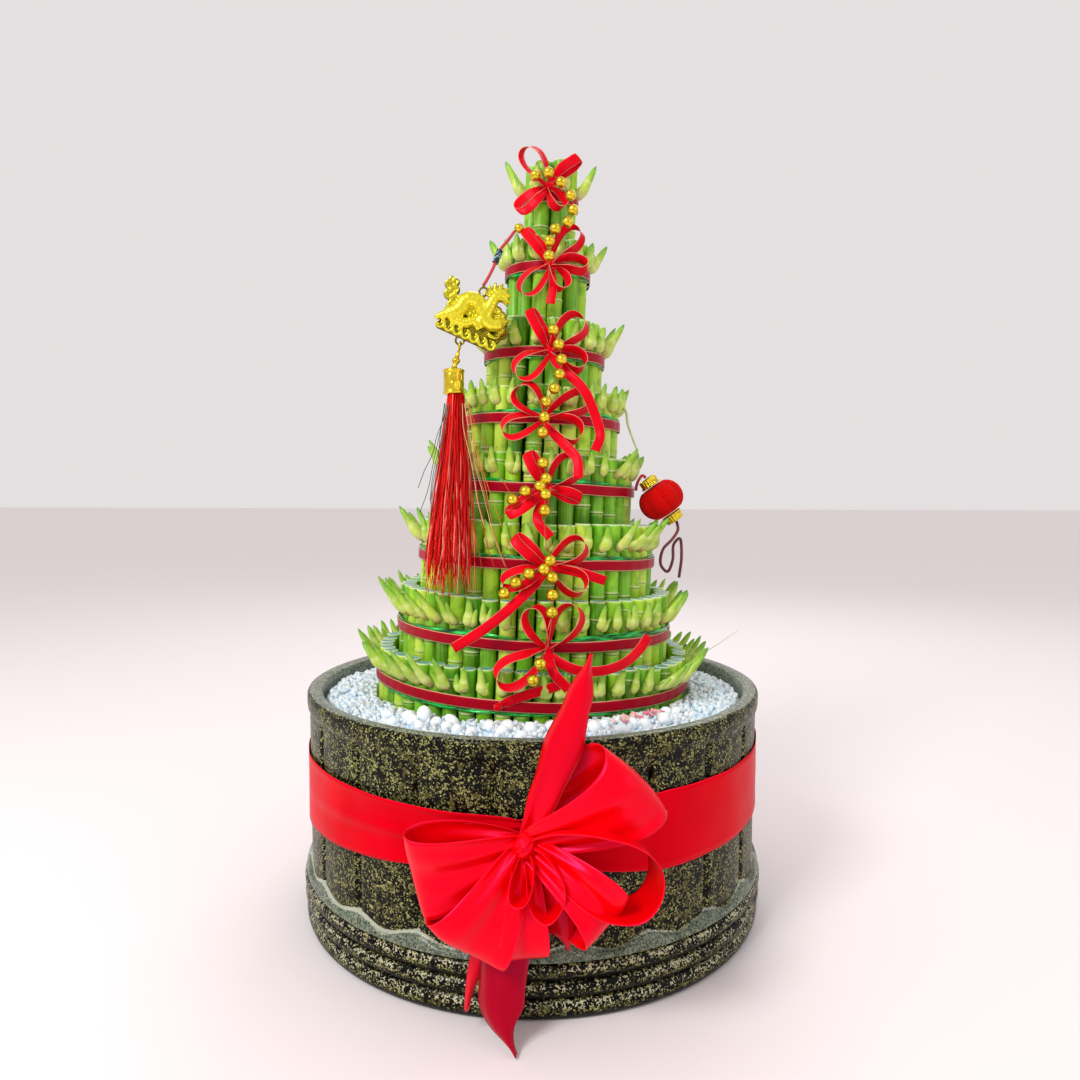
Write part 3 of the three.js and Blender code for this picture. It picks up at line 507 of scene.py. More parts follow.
def glaze_finish():
    """Black glaze with cream specks and khaki flecks, grey-green where it is thin."""
    finish = Finish("speckled glaze", Coat_Roughness=0.12, Coat_IOR=1.4, Specular_IOR_Level=0.1)
    at = finish.place()
    stir = finish.node("ShaderNodeTexNoise", None, {"Vector": at, "Scale": 0.9, "Detail": 2}, output=1)
    bent = finish.node(
        "ShaderNodeVectorMath", {"operation": "MULTIPLY_ADD"}, {0: stir, 1: (1.5, 1.5, 1.5), 2: at},
    )
    cells = finish.node("ShaderNodeTexVoronoi", None, {"Vector": bent, "Scale": 1 / 0.76}, output=1)
    drawn, tone, _ = finish.split(cells)
    crowd = finish.cloud(8, detail=4, rough=0.7)
    speck = drawn < (crowd * 1.6 - 0.52)
    thin, shelf, crest = finish.split(finish.painted("coats", output=0))
    pooled_shade_and_light = finish.painted("coats", output=3)
    fine = finish.cloud(1.3, detail=3, rough=0.7)
    specks = finish.mix(tone, "2a2a12", "aaa868")
    # Painted light: the specks on the rolls' upper sides are paler.
    specks = finish.mix(pooled_shade_and_light * -0.75, specks, "ccc8a6")
    body = finish.mix(speck, "030302", specks)
    fleck = finish.mask(finish.cloud(5, detail=4, rough=0.7), 0.59, 0.61)
    body = finish.mix(fleck * 0.85, body, finish.mix(tone, "403c18", "66602e"))
    dapple = finish.mask(fine, 0.36, 0.64)
    ledge = finish.mix(speck * 0.5, finish.mix(dapple, "1c241e", "748270"), "a4a688")
    body = finish.mix(finish.mask(shelf, 0.4, 0.6), body, ledge)
    line = finish.mask(crest + (fine - 0.5) * 1.1, 0.5, 0.68)
    body = finish.mix(line * 0.8, body, "b9beaa")
    pale = finish.mix(fine, "3c453a", "9ca494")
    pale = finish.mix((drawn > 0.62) * 0.7, pale, "20251d")
    pale = finish.mix(speck * 0.4, pale, "c0c0a0")
    bare = finish.mask(thin + (fine - 0.5) * 0.5, 0.42, 0.58)
    body = finish.mix(bare, body, pale)
    # Glaze pooled in the joints and painted shade under the rolls, both painted black.
    dark = finish.mask(pooled_shade_and_light + (fine - 0.5) * 0.6, 0.3, 0.75)
    finish.set("Base Color", finish.mix(dark * 0.95, body, "020202"))
    finish.set("Roughness", 0.25 + finish.cloud(14) * 0.2)
    finish.set("Coat Weight", 0.06 + (bare + shelf) * 0.25)
    finish.bump(finish.cloud(2.2, detail=2) + speck * 0.3, 0.14)
    return finish


add_piece("glazed-pot", make_pot(), glaze_finish(), "glaze", "pot")

# The gravel is crushed white marble, heaped to the rim at the sides and the back, over a bed of the
# same. Larger smooth pebbles lie along the front, with a few pink chips to the right.
GRAVEL = {"edge": 138.8, "top": 139, "slope": 3, "heap": 2.2, "hole": 107.4}
CRUSHED = {"shapes": 9, "corners": 11, "count": 2300, "size": (3.2, 6.6), "sunk": (-0.7, 0.25)}
PEBBLES = {
    "shapes": 4, "count": 30, "away": (112, 131), "from": -133, "to": -44,
    "size": [(7, 11.5), (6, 9), (5.5, 8)],
}
PINK = {"count": 22, "away": (112, 122), "from": -70, "to": -50, "size": (3, 6)}
UPRIGHT = {"place": (-62, -98, 145.5), "size": (9, 7, 12)}
FOOT = Vector((-2.4, 0, 104))
LEAN = math.radians(2.1)
TOWER = Matrix.Translation(FOOT) @ Matrix.Rotation(LEAN, 4, "Y")


def gravel_height(x, y):
    away = math.hypot(x, y)
    heap = GRAVEL["heap"] * smooth_step(away, 139, 116)
    return GRAVEL["top"] - GRAVEL["slope"] * y / GRAVEL["edge"] + heap


def on_gravel(angle, away, lift):
    """A place this far above the gravel's surface."""
    x = away * math.cos(angle)
    y = away * math.sin(angle)
    return (x, y, gravel_height(x, y) + lift)


def make_stone(draw, faceted):
    """One stone about 1 mm across: the hull of a few points, or a smooth pebble."""
    shape = bmesh.new()
    if faceted:
        for _ in range(CRUSHED["corners"]):
            spot = Vector([draw.gauss(0, 1) for _ in range(3)]).normalized()
            shape.verts.new(spot * draw.uniform(0.38, 0.55))
        bmesh.ops.convex_hull(shape, input=shape.verts)
    else:
        bmesh.ops.create_icosphere(shape, subdivisions=2, radius=0.5)
        for vert in shape.verts:
            vert.co *= 1 + 0.16 * noise.noise(vert.co * 2.5 + Vector((draw.random(), 0, 0)))
    mesh = as_mesh(shape, "stone")
    mesh.attributes.new("tone", "FLOAT", "POINT")
    return mesh


def lay_stone(shape, mesh, place, size, tone, draw=None):
    """Adds a stone of this size and tone, turned any way, or left upright without a draw."""
    turn = Quaternion([draw.gauss(0, 1) for _ in range(4)]).normalized() if draw else Quaternion()
    copy = mesh.copy()
    copy.transform(Matrix.Translation(place) @ turn.to_matrix().to_4x4() @ Matrix.Diagonal((*size, 1)))
    copy.attributes["tone"].data.foreach_set("value", [tone] * len(copy.vertices))
    take_in(shape, copy)


def make_bed():
    """The bed under the loose stones, from the pot's floor up, with a hole for the stalks."""
    edge = GRAVEL["edge"]
    hole = GRAVEL["hole"]
    outline = [(hole, 14.3), (edge - 2, 14.3), (edge, 30), (edge, 136.8)]
    outline += [(lerp(138, hole + 0.4, i / 12), 137.4) for i in range(13)]
    shape = turned([*outline, (hole, 104.3)], 120, gap=0.01, ring=True)
    for vert in shape.verts:
        x, y, z = vert.co
        if z > 137:
            vert.co.z = gravel_height(x, y) - 1.2 + 1.1 * noise.noise(vert.co * 0.35)
        near = smooth_step(math.hypot(x, y), hole + 6, hole)
        if z > 100:
            vert.co.x += near * (FOOT.x + math.sin(LEAN) * (z - FOOT.z))
    return shape


def make_gravel():
    """The bed, the crushed stones, the pebbles along the front and the pink chips."""
    draw = random.Random(5)
    shape = bmesh.new()
    shape.verts.layers.float.new("tone")
    join(shape, make_bed())
    crushed = [make_stone(draw, True) for _ in range(CRUSHED["shapes"])]
    pebbles = [make_stone(draw, False) for _ in range(PEBBLES["shapes"])]
    middle = TOWER @ Vector((0, 0, 36))
    for _ in range(CRUSHED["count"]):
        angle = draw.uniform(0, 2 * math.pi)
        away = math.sqrt(draw.uniform((GRAVEL["hole"] - 1) ** 2, 136.5 ** 2))
        x, y, _ = on_gravel(angle, away, 0)
        if math.hypot(x - middle.x, y - middle.y) < GRAVEL["hole"] - 1.5:
            continue
        size = [draw.uniform(*CRUSHED["size"]) for _ in range(3)]
        place = on_gravel(angle, away, draw.uniform(*CRUSHED["sunk"]))
        lay_stone(shape, draw.choice(crushed), place, size, draw.random(), draw)
    for i in range(PEBBLES["count"]):
        share = (i + draw.random()) / PEBBLES["count"]
        angle = math.radians(lerp(PEBBLES["from"], PEBBLES["to"], share))
        place = on_gravel(angle, draw.uniform(*PEBBLES["away"]), 0.6)
        size = [draw.uniform(*limits) for limits in PEBBLES["size"]]
        lay_stone(shape, draw.choice(pebbles), place, size, draw.uniform(0.7, 1), draw)
    for _ in range(PINK["count"]):
        angle = math.radians(draw.uniform(PINK["from"], PINK["to"]))
        place = on_gravel(angle, draw.uniform(*PINK["away"]), 2.4)
        size = [draw.uniform(*PINK["size"]) for _ in range(3)]
        lay_stone(shape, draw.choice(crushed), place, size, -draw.random(), draw)
    lay_stone(shape, pebbles[0], UPRIGHT["place"], UPRIGHT["size"], 0.95)
    return shape


def gravel_finish():
    """Marble glows a little within. A tone below 0 is a pink chip's."""
    finish = Finish(
        "crushed marble", Roughness=0.5, Subsurface_Weight=0.6, Subsurface_Scale=0.004,
        Subsurface_Radius=(0.7, 0.85, 1),
    )
    tone = finish.painted("tone")
    white = finish.mix(tone, "cfe6f8", "eef8ff")
    pink = finish.mix(tone + 1, "e8708c", "f2c4b4")
    finish.set("Base Color", finish.mix(tone < -0.02, white, pink))
    finish.bump(finish.cloud(1.4, detail=3), 0.12)
    return finish


add_piece("white-gravel", make_gravel(), gravel_finish(), "gravel", "gravel")

# The stalks are lucky bamboo, cut to one length a tier, stood in rings one inside another. Each has
# pale doubled node rings and a cut top dipped in teal wax, and a curved shoot that has pushed out
# under its top, in a few torn brown scales. Shoots are pressed flat where something lies on them.
# Each tier: its outer radius, how high its ribbon's middle and its stalks' tops are, its number of
# stalks, the side of the ribbon that its tape shows on, and how much of the tape shows
TIERS = [
    dict(zip(("name", "outer", "band", "top", "stalks", "tape", "foil"), row)) for row in [
        ("tier_8", 104.5, 48, 66, 57, "below", 0.85),
        ("tier_7", 91.4, 80, 106, 50, "above", 1),
        ("tier_6", 79, 126, 150, 42, "above", 0.5),
        ("tier_5", 63.5, 171.5, 193, 33, "above", 0.5),
        ("tier_4", 52, 214.6, 235, 27, "above", 0.5),
        ("tier_3", 39.8, 257.6, 279.5, 20, "below", 0.5),
        ("tier_2", 27.8, 314, 333.5, 13, "below", 0.8),
        ("tier_1", 17.9, 361, 386.5, 6, None, 0),
    ]
]
STALK = {
    "face": 0.94, "same_top": 0.45, "top_step": 1.1, "sides": 14, "node_gap": (22, 34), "tilt": 0.004,
}
# Round a node and at the cut top: the share of the radius, the height, whether it is cut, the ring
NODE = [
    (0.98, -1.9, 0, 0), (1.02, -1, 0, 0.3), (0.97, -0.3, 0, -0.7), (1.06, 0.45, 0, 1), (0.98, 1.5, 0, 0),
]
CUT_TOP = [(0.99, -1.4, 0, 0), (0.985, -0.35, 0.1, 0.5), (0.92, 0, 0.3, 0.9), (0.8, -0.1, 1, 0)]
HEART = {"radius": 7.4, "above": 1.5}
SHOOT = {
    "above": 5, "over_tape": 3.8, "out": 12.5, "rise": 19, "swing": 7, "spread": 11, "sides": 9,
    "rings": 14, "root_girth": 0.62, "tip_girth": 0.4, "twins": 0.6, "narrow_tier": 20, "larger": 1.15,
    "pressed_out": 3.2, "pressed_rise": 16, "pressed_swing": 3,
}
# A shoot's course, as shares of how far out, how far aside and how far up it goes
COURSE = [(0.27, 0.25, 0.24), (0.55, 0.55, 0.52), (0.8, 0.8, 0.78), (1, 1, 1)]
PRESSED = [(-45, 45, 0, 400), (-85, -20, 90, 300), (45, 75, 0, 100)]
LANTERN_SIDE = {"angle": -14, "spread": 26, "bottom": 80, "top": 250}


def new_shape(*numbers):
    """An empty shape with a UV map and a layer for each of these painted numbers."""
    shape = bmesh.new()
    shape.loops.layers.uv.new("UVMap")
    for name in numbers:
        shape.verts.layers.float.new(name)
    return shape


def draws_from(seed):
    """The part's own sequence of numbers, so that stalks and shoots stand where its solids do."""
    state = seed
    while True:
        state = (state * 1664525 + 1013904223) % 4294967296
        yield state / 4294967296


def is_pressed(angle, radius, height):
    """Whether a bow, the tassel or the lantern lies on the shoots here."""
    x = radius * math.cos(angle)
    in_front = any(left < x < right and low < height < high for left, right, low, high in PRESSED)
    beside = abs(angle - math.radians(LANTERN_SIDE["angle"])) * radius < LANTERN_SIDE["spread"]
    at_lantern = beside and LANTERN_SIDE["bottom"] < height < LANTERN_SIDE["top"]
    return (math.sin(angle) < -0.35 and in_front) or at_lantern


def make_stalk(radius, top, hidden, draw):
    """One stalk on the Z axis, its outline spun round. Tint holds, in turn, its tone, how far up it
    a place is, whether it is cut wood, and whether it is a node ring."""
    outline = [(0.98, 0.3, 0, 0), (1, hidden, 0, 0)]
    node = hidden + draw.uniform(1, STALK["node_gap"][0])
    while node < top - 4:
        outline += [(share, node + up, cut, ring) for share, up, cut, ring in NODE]
        node += draw.uniform(*STALK["node_gap"])
    outline += [(share, top + up, cut, ring) for share, up, cut, ring in CUT_TOP]
    outline.append((POLE / radius, top - 0.25, 1, 0))
    shape = bmesh.new()
    tint = shape.verts.layers.float_color.new("tint")
    line = []
    for share, height, cut, ring in outline:
        vert = shape.verts.new((radius * share, 0, height))
        vert[tint] = (0, height / top, cut / 2, ring)
        line.append(vert)
    spin_round(shape, line, STALK["sides"])
    return as_mesh(shape, "stalk")


def make_shoot(out, rise, swing, wide, draw, aside=0):
    """One shoot in its stalk's frame: X runs outwards from the face, Y round the ring, Z up. It is a
    stout horn with a blunt tip, in torn scales that each end in a small step. Tint holds, in turn,
    its tone, how far along it a place is, 1 and how near the torn edge of a scale."""
    root = Vector((-2, aside, 0.4))
    course = [(out * far, lerp(aside, swing, turn), rise * up) for far, turn, up in COURSE]
    path = through([root, *course], SHOOT["rings"] - 1)
    scales = [(draw.uniform(0.16, 0.28), 0.9), (draw.uniform(0.4, 0.56), 0.92)]
    slim = draw.uniform(0.85, 1.1)
    hook = draw.uniform(-1.3, 1.3)

    def girth(share):
        size = lerp(SHOOT["root_girth"], 1, smooth_step(share, 0, 0.3))
        size *= lerp(1, SHOOT["tip_girth"], max(share - 0.24, 0) / 0.76) * slim
        size *= math.sqrt(1 - smooth_step(share, 0.84, 1.03))
        for at, shrink in scales:
            if share > at:
                size *= shrink
        return size

    def corner(u, v):
        step = round(u * (len(path) - 1))
        across = Vector((0, 1, 0))
        up = heading(path, step).normalized().cross(across).normalized()
        angle = 2 * math.pi * v
        size = wide * (girth(u) + 0.07 * math.sin(3 * angle + 9 * u + hook) * (1 - u))
        at = path[step] + across * (hook * math.sin(math.pi * u))
        return at + across * (size * math.cos(angle)) + up * (0.84 * size * math.sin(angle))

    shape = sheet(len(path) - 1, SHOOT["sides"], corner)
    tint = shape.verts.layers.float_color.new("tint")
    for vert in shape.verts:
        reach = (vert.co - root).length / (path[-1] - root).length
        torn = max(1 - abs(reach - at - 0.03) / 0.055 for at, _ in scales)
        vert[tint] = (0, min(reach, 1), 1, min(max(torn, 0), 1))
    close_up(shape, 1e-4)
    return as_mesh(shape, "shoot")


def paint(mesh, tone):
    """Gives every vertex of a stalk or shoot the same tone."""
    data = mesh.attributes["tint"].data
    values = [0.0] * (4 * len(data))
    data.foreach_get("color", values)
    values[::4] = [tone] * len(data)
    data.foreach_set("color", values)


def stoutness(stalks):
    """How thick a tier's shoots are: slim on the top tier and stoutest on the next two."""
    if stalks < 10:
        return 0.8
    return 1.04 if stalks <= SHOOT["narrow_tier"] else 0.88


def make_tier(tier, hidden, seed):
    """A ring of stalks. The tops' and shoots' numbers are the part's, and the rest are drawn here."""
    numbers = draws_from(seed)
    draw = random.Random(seed)
    pitch = math.pi / tier["stalks"]
    radius = tier["outer"] * math.sin(pitch) / (1 + math.sin(pitch))
    centre = tier["outer"] - radius
    face = centre + STALK["face"] * radius
    tops = [tier["top"]]
    for _ in range(1, tier["stalks"]):
        keep = next(numbers) < STALK["same_top"]
        step = 0 if keep else math.floor(next(numbers) * 3 - 1) * STALK["top_step"]
        tops.append(tops[-1] if keep else tier["top"] + step)
    root = tier["band"] + SHOOT["above"] + (SHOOT["over_tape"] if tier["tape"] == "above" else 0)
    shape = new_shape()
    shape.verts.layers.float_color.new("tint")
    for i, top in enumerate(tops):
        middle = -math.pi / 2 + 2 * pitch * (i + 0.5)
        facing = math.atan2(math.sin(middle), math.cos(middle))
        pressed = is_pressed(facing, tier["outer"], tier["band"])
        if pressed:
            out = SHOOT["pressed_out"]
            rise = SHOOT["pressed_rise"]
            swing = (next(numbers) - 0.5) * SHOOT["pressed_swing"]
        else:
            out = SHOOT["out"] * (0.8 + 0.3 * next(numbers))
            rise = SHOOT["rise"] * (0.85 + 0.3 * next(numbers))
            swing = (next(numbers) - 0.5) * SHOOT["swing"]
        if math.sin(middle) < 0 and not pressed:
            swing += SHOOT["spread"] * math.cos(middle) * -math.sin(middle)
            out *= 1.12
        if tier["stalks"] <= SHOOT["narrow_tier"] and not pressed:
            out *= SHOOT["larger"]
            rise *= SHOOT["larger"]
        turn = Matrix.Rotation(middle, 4, "Z")
        tone = draw.random()
        stalk = make_stalk(radius * draw.uniform(0.86, 0.97), top, hidden, draw)
        tilt = Matrix.Rotation(draw.uniform(-STALK["tilt"], STALK["tilt"]), 4, "X")
        stalk.transform(turn @ Matrix.Translation((centre, 0, 0)) @ tilt)
        paint(stalk, tone)
        take_in(shape, stalk)
        wide = stoutness(tier["stalks"]) * lerp(1, 0.8, max(-math.sin(middle), 0) ** 2)
        shoots = [make_shoot(out, rise, swing, wide * draw.uniform(0.85, 1.1) * radius, draw)]
        if draw.random() < SHOOT["twins"]:
            side = draw.choice((-1, 1)) * radius
            small = draw.uniform(0.45, 0.85)
            shoots.append(make_shoot(
                out * small, rise * small, swing + side * 0.9, 0.56 * radius, draw, aside=0.35 * side,
            ))
        for shoot in shoots:
            shoot.transform(turn @ Matrix.Translation((face, 0, root)))
            paint(shoot, draw.random())
            take_in(shape, shoot)
    if tier["name"] == "tier_1":
        take_in(shape, make_stalk(HEART["radius"], tier["top"] + HEART["above"], hidden, draw))
    shape.transform(TOWER)
    return shape


def stalk_finish():
    """Mottled green skin with pale rings and waxed tops, and the shoots' scales."""
    finish = Finish(
        "green stalks", Roughness=0.4, Specular_IOR_Level=0.3, Coat_Weight=0.12, Coat_Roughness=0.22,
        Subsurface_Weight=0.08, Subsurface_Scale=0.002, Subsurface_Radius=(0.6, 1.0, 0.2),
    )
    tone, reach, kind = finish.split(finish.painted("tint", output=0))
    detail = finish.painted("tint", output=3)
    streak = finish.cloud(1.6, detail=3, stretch=(1, 1, 14))
    green = finish.ramp(tone, (0, "30800c"), (0.35, "68bc16"), (0.7, "a4d428"), (1, "d0e25a"))
    green = finish.mix(finish.mask(streak, 0.35, 0.7) * 0.35, green, "c4d444")
    mottle = finish.mask(finish.cloud(9, detail=2), 0.5, 0.68)
    green = finish.mix(mottle * 0.42, green, "247008")
    scar = finish.mask(finish.cloud(5, detail=4, rough=0.7), 0.67, 0.7)
    green = finish.mix(scar * 0.6, green, "8c8040")
    green = finish.mix(detail * 0.8, green, "e4e6b4")
    green = finish.mix(detail * -0.85, green, "3c3812")
    wax = finish.mix(finish.cloud(3, detail=2), "14685e", "8ccabc")
    stalk = finish.mix(finish.mask(kind, 0.06, 0.14), green, "f0f2d4")
    stalk = finish.mix(finish.mask(kind, 0.2, 0.34), stalk, wax)
    speck = finish.cloud(2.2, detail=3)
    skin = finish.ramp(
        reach + (speck - 0.5) * 0.3, (0.05, "7c4c20"), (0.13, "bc9c54"), (0.27, "ccd862"),
        (0.5, "b2d03e"), (0.85, "7fb82c"), (1, "3e8226"),
    )
    skin = finish.mix(tone * 0.28, skin, finish.mix(reach, "efe6b4", "c8e058"))
    skin = finish.mix(mottle * 0.35, skin, "5f9a20")
    skin = finish.mix(detail * 0.5, skin, "ece6b0")
    finish.set("Base Color", finish.mix(kind > 0.75, stalk, skin))
    finish.bump(streak, 0.15)
    return finish


# Two dry leaf stems stand out on the right: one hangs from the fourth tier from the top, and one,
# fine as a whisker, stands up beside the lowest.
STEMS = [
    [(56, -14, 330), (60.5, -17, 327), (62, -18, 318), (65.5, -18, 308), (69, -17, 299), (71, -15, 290)],
    [(101, -22, 166), (112, -26, 168), (119, -28, 172.5), (127, -30, 178.5), (134, -31, 184)],
]


def make_stems():
    """Thin stems that taper to their tips."""
    shape = new_shape()
    for points, thick in zip(STEMS, (1, 0.35)):
        join(shape, tube(through(points, 30), lambda u: thick * (1 - 0.6 * u), 7))
    return shape


stem_finish = Finish("dry leaf stem", Roughness=0.6, Specular_IOR_Level=0.3)
stem_finish.set("Base Color", stem_finish.mix(stem_finish.cloud(6), "8fae62", "d8d2a4"))
add_piece("dry-stems", make_stems(), stem_finish, "stalks")


def called(tier, kind):
    """The name of a tier's piece."""
    return f"{tier['name'].replace('_', '-')}-{kind}"


stalks = stalk_finish()
for i, tier in enumerate(TIERS):
    lower_top = TIERS[i - 1]["top"] - 8 if i else 24
    add_piece(called(tier, "stalks"), make_tier(tier, lower_top, 11 + i), stalks, "stalks", tier["name"])

# Each tier is first bound with a strip of crinkled emerald foil tape, which shows just above or
# below its ribbon.
TAPE = {"above": (3.7, 8), "below": (-6.7, -3.7), "thick": 0.1}


def hoop(along, across, corner):
    """A sheet that comes round to its start, where it is merged."""
    shape = sheet(along, across, corner)
    bmesh.ops.remove_doubles(shape, verts=shape.verts, dist=1e-4)
    return shape


def give_wall(piece, thick):
    """Gives a sheet its thickness, half of it to each side."""
    wall = piece.modifiers.new("Thickness", "SOLIDIFY")
    wall.thickness = thick * MM
    wall.offset = 0


def make_tape(tier):
    """A strip whose edge wanders, nearest to the ribbon along its other edge."""
    low, high = TAPE[tier["tape"]]
    near, far = (low, high) if low > 0 else (high, low)
    seed = tier["outer"]

    def corner(u, v):
        angle = 2 * math.pi * u
        around = Vector((math.cos(angle), math.sin(angle), 0))
        crease = noise.noise(Vector((angle * tier["outer"] / 5, v * 3, seed)))
        shown = 0.5 + 0.9 * noise.noise(Vector((math.cos(angle) * 2.6, math.sin(angle) * 2.6, seed)))
        shown = min(max(shown, 0.1), 1) * tier["foil"]
        away = lerp(near, far, shown)
        edge = 0.5 * noise.noise(Vector((angle * tier["outer"] / 9, 0, seed + 7 * round(v))))
        height = tier["band"] + lerp(min(near, away), max(near, away), v) + edge
        return around * (tier["outer"] + 0.55 + 0.45 * crease) + Vector((0, 0, height))

    shape = hoop(round(tier["outer"] * 3.4), 5, corner)
    shape.transform(TOWER)
    return shape


def tape_finish():
    """Crinkled foil, painted from deep green to bright along its crinkles as painted shade and glints.
    """
    finish = Finish(
        "emerald foil", Roughness=0.24, Metallic=0.2, Specular_IOR_Level=0.3, Coat_Weight=0.3,
    )
    crinkle = finish.cloud(7, detail=2, rough=0.5, stretch=(1.5, 1.5, 0.22))
    # Painted shade and glints: the crinkles run from deep green to bright.
    painted_shade_and_glints = finish.ramp(crinkle, (0.34, "012a10"), (0.46, "04782c"), (0.58, "06b43c"), (0.72, "4cf07a"))
    finish.set("Base Color", painted_shade_and_glints)
    finish.bump(crinkle, 1.4)
    return finish


foil = tape_finish()
for tier in TIERS:
    if tier["tape"]:
        strip = add_piece(called(tier, "foil"), make_tape(tier), foil, "tape", tier["name"] + "_tape")
        give_wall(strip, TAPE["thick"])

# The thin ribbons are 6.5 mm red satin with a fine gold edge. Each goes round its tier and is tied
# in front in a bow of open loops and loose ends, which lie over the slope of the tower.
RIBBON = {
    "width": 6.5, "gathered": 2.4, "clear": 0.8, "knot": 3.4, "thick": 0.3, "loop_roll": 42,
    "flat_from": 60, "tail_roll": 80,
}
# A loop's steps, how soon it is at its full width, how far its two layers cross at the knot, and, where
# it lies flat, how much narrower it is and how far they stand apart
LOOP = {"steps": 26, "opens": 12, "cross": 0.8, "narrowed": 0.3, "apart": 1.8}
BOW_LIFT = 6.5
BOWS = {
    "tier_1": {
        "x": -2, "rise": 5,
        "loops": [(123, 29, 6), (45, 27, 3, 78), (223, 26, 13, 76), (-61, 19, 4)],
        "tails": [],
    },
    "tier_2": {
        "x": 1,
        "loops": [(128, 28, 4, 76), (53, 30, 6), (0, 24, 4), (231, 27, 6), (-63, 20, 5)],
        "tails": [[(1, 312, -1), (3, 298, 5), (2, 286, 6)]],
    },
    "tier_3": {
        "x": 3,
        "loops": [(119, 28, 4, 74), (47, 30, 7), (-23, 24, 6), (221, 27, 7)],
        "tails": [
            [(4, 254, -1), (13, 243, 7), (24, 232, 13), (33, 213, 14), (35, 204, 14), (32, 195, 13)],
        ],
    },
    "tier_4": {
        "x": 1,
        "loops": [(133, 25, 7), (27, 33, 6), (201, 27, 6), (-27, 25, 7)],
        "tails": [[(2, 211, -1), (12, 199, 9), (21, 189, 15), (22, 178, 14)]],
    },
    "tier_5": {
        "x": 4,
        "loops": [(120, 24, 5, 78), (46, 25, 7), (216, 28, 5, 70), (-16, 21, 4, 70)],
        "tails": [[(4, 168, -1), (-1, 153, 6), (7, 143, 7)]],
    },
    "tier_6": {
        "x": 6,
        "loops": [(140, 26, 5, 76), (35, 26, 6), (202, 28, 4), (-28, 25, 6)],
        "tails": [
            [(7, 126, -1), (22, 124, 5), (40, 119, 7)],
            [(5, 123, -1), (-9, 108, 7), (-28, 91, 8), (-46, 78, 6)],
        ],
    },
    "tier_7": {
        "x": 8,
        "loops": [(114, 26, 6), (58, 29, 7), (211, 33, 7)],
        "tails": [
            [(9, 77, -1), (23, 71, 7), (37, 70, 8), (51, 73, 8), (62, 80, 7), (67, 87, 6)],
            [(8, 76, -1), (12, 68, 6), (20, 60, 6)],
        ],
    },
    "tier_8": {
        "x": -19, "knot": 0.66,
        "loops": [],
        "tails": [[(-17, 49, 1.5), (-7, 54, 2.6), (7, 59, 2.6), (17, 62, 2.6)]],
    },
}


def slope_at(height):
    """The tower's radius at a height, on a line over the cut tops of its tiers."""
    line = [(tier["top"], tier["outer"]) for tier in TIERS]
    for (low, wide), (high, narrow) in zip(line, line[1:]):
        if height <= high:
            return lerp(wide, narrow, max((height - low) / (high - low), 0))
    return line[-1][1]


def on_front(x, height, lift):
    """A place on the front of the tower, this far in front of its slope."""
    radius = slope_at(height)
    depth = radius * math.sqrt(max(1 - (x / radius) ** 2, 0.6))
    return Vector((x, -(depth + lift), height))


def in_plane(degrees):
    """A direction across the front, counted from the right upwards."""
    angle = math.radians(degrees)
    return Vector((math.cos(angle), 0, math.sin(angle)))


def ribbon(stations):
    """A ribbon through stations of (place, direction across, width), gathered where it is narrow."""
    last = len(stations) - 1
    path = [at for at, _, _ in stations]
    slack = RIBBON["width"] - RIBBON["gathered"]

    def corner(u, v):
        step = round(u * last)
        at, across, width = stations[step]
        normal = heading(path, step).cross(across).normalized()
        tight = max(1 - (width - RIBBON["gathered"]) / slack, 0)
        lift = 0.8 * tight * math.cos(3 * math.pi * v) + 0.35 * (1 - (2 * v - 1) ** 2)
        return at + across * (width * (v - 0.5)) + normal * lift

    return sheet(last, 6, corner)


def rolled(side, degrees):
    """The direction across a ribbon, from edge on to flat as it is rolled over."""
    angle = math.radians(degrees)
    return FRONT * math.cos(angle) + side * math.sin(angle)


def small_loop(knot, degrees, length, swell, roll=RIBBON["loop_roll"]):
    """One loop of a small bow, open like a teardrop, or, where it is rolled further, lying flat."""
    out = in_plane(degrees)
    side = in_plane(degrees + 90)
    across = rolled(side, roll)
    flat = roll > RIBBON["flat_from"]
    stations = []
    for i in range(LOOP["steps"] + 1):
        t = i / LOOP["steps"]
        away = length * math.sin(math.pi * t)
        turn = math.sin(2 * math.pi * t)
        aside = swell * turn * (LOOP["narrowed"] if flat else 1) + LOOP["cross"] * (1 - 2 * t)
        spot = knot + out * away + side * aside
        at = on_front(spot.x, spot.z, BOW_LIFT)
        spread = min(away / LOOP["opens"], 1)
        at.y = lerp(knot.y, at.y, spread) - (LOOP["apart"] * turn if flat else 0)
        stations.append((at, across, lerp(RIBBON["gathered"], RIBBON["width"], spread)))
    return ribbon(stations)


def small_tail(knot, points):
    """A loose end of a small bow, which lies over the slope."""
    path = through([knot, *[on_front(*point) for point in points]], 8 * len(points))
    stations = []
    for i, at in enumerate(path):
        along = heading(path, i)
        across = rolled(Vector((-along.z, 0, along.x)).normalized(), RIBBON["tail_roll"])
        width = lerp(RIBBON["gathered"], RIBBON["width"] - 0.6, min(i / 6, 1))
        stations.append((at, across, width))
    return ribbon(stations)


def painted(shape, name, number):
    """Paints one number on the whole of a shape."""
    layer = shape.verts.layers.float.new(name)
    for vert in shape.verts:
        vert[layer] = number
    return shape


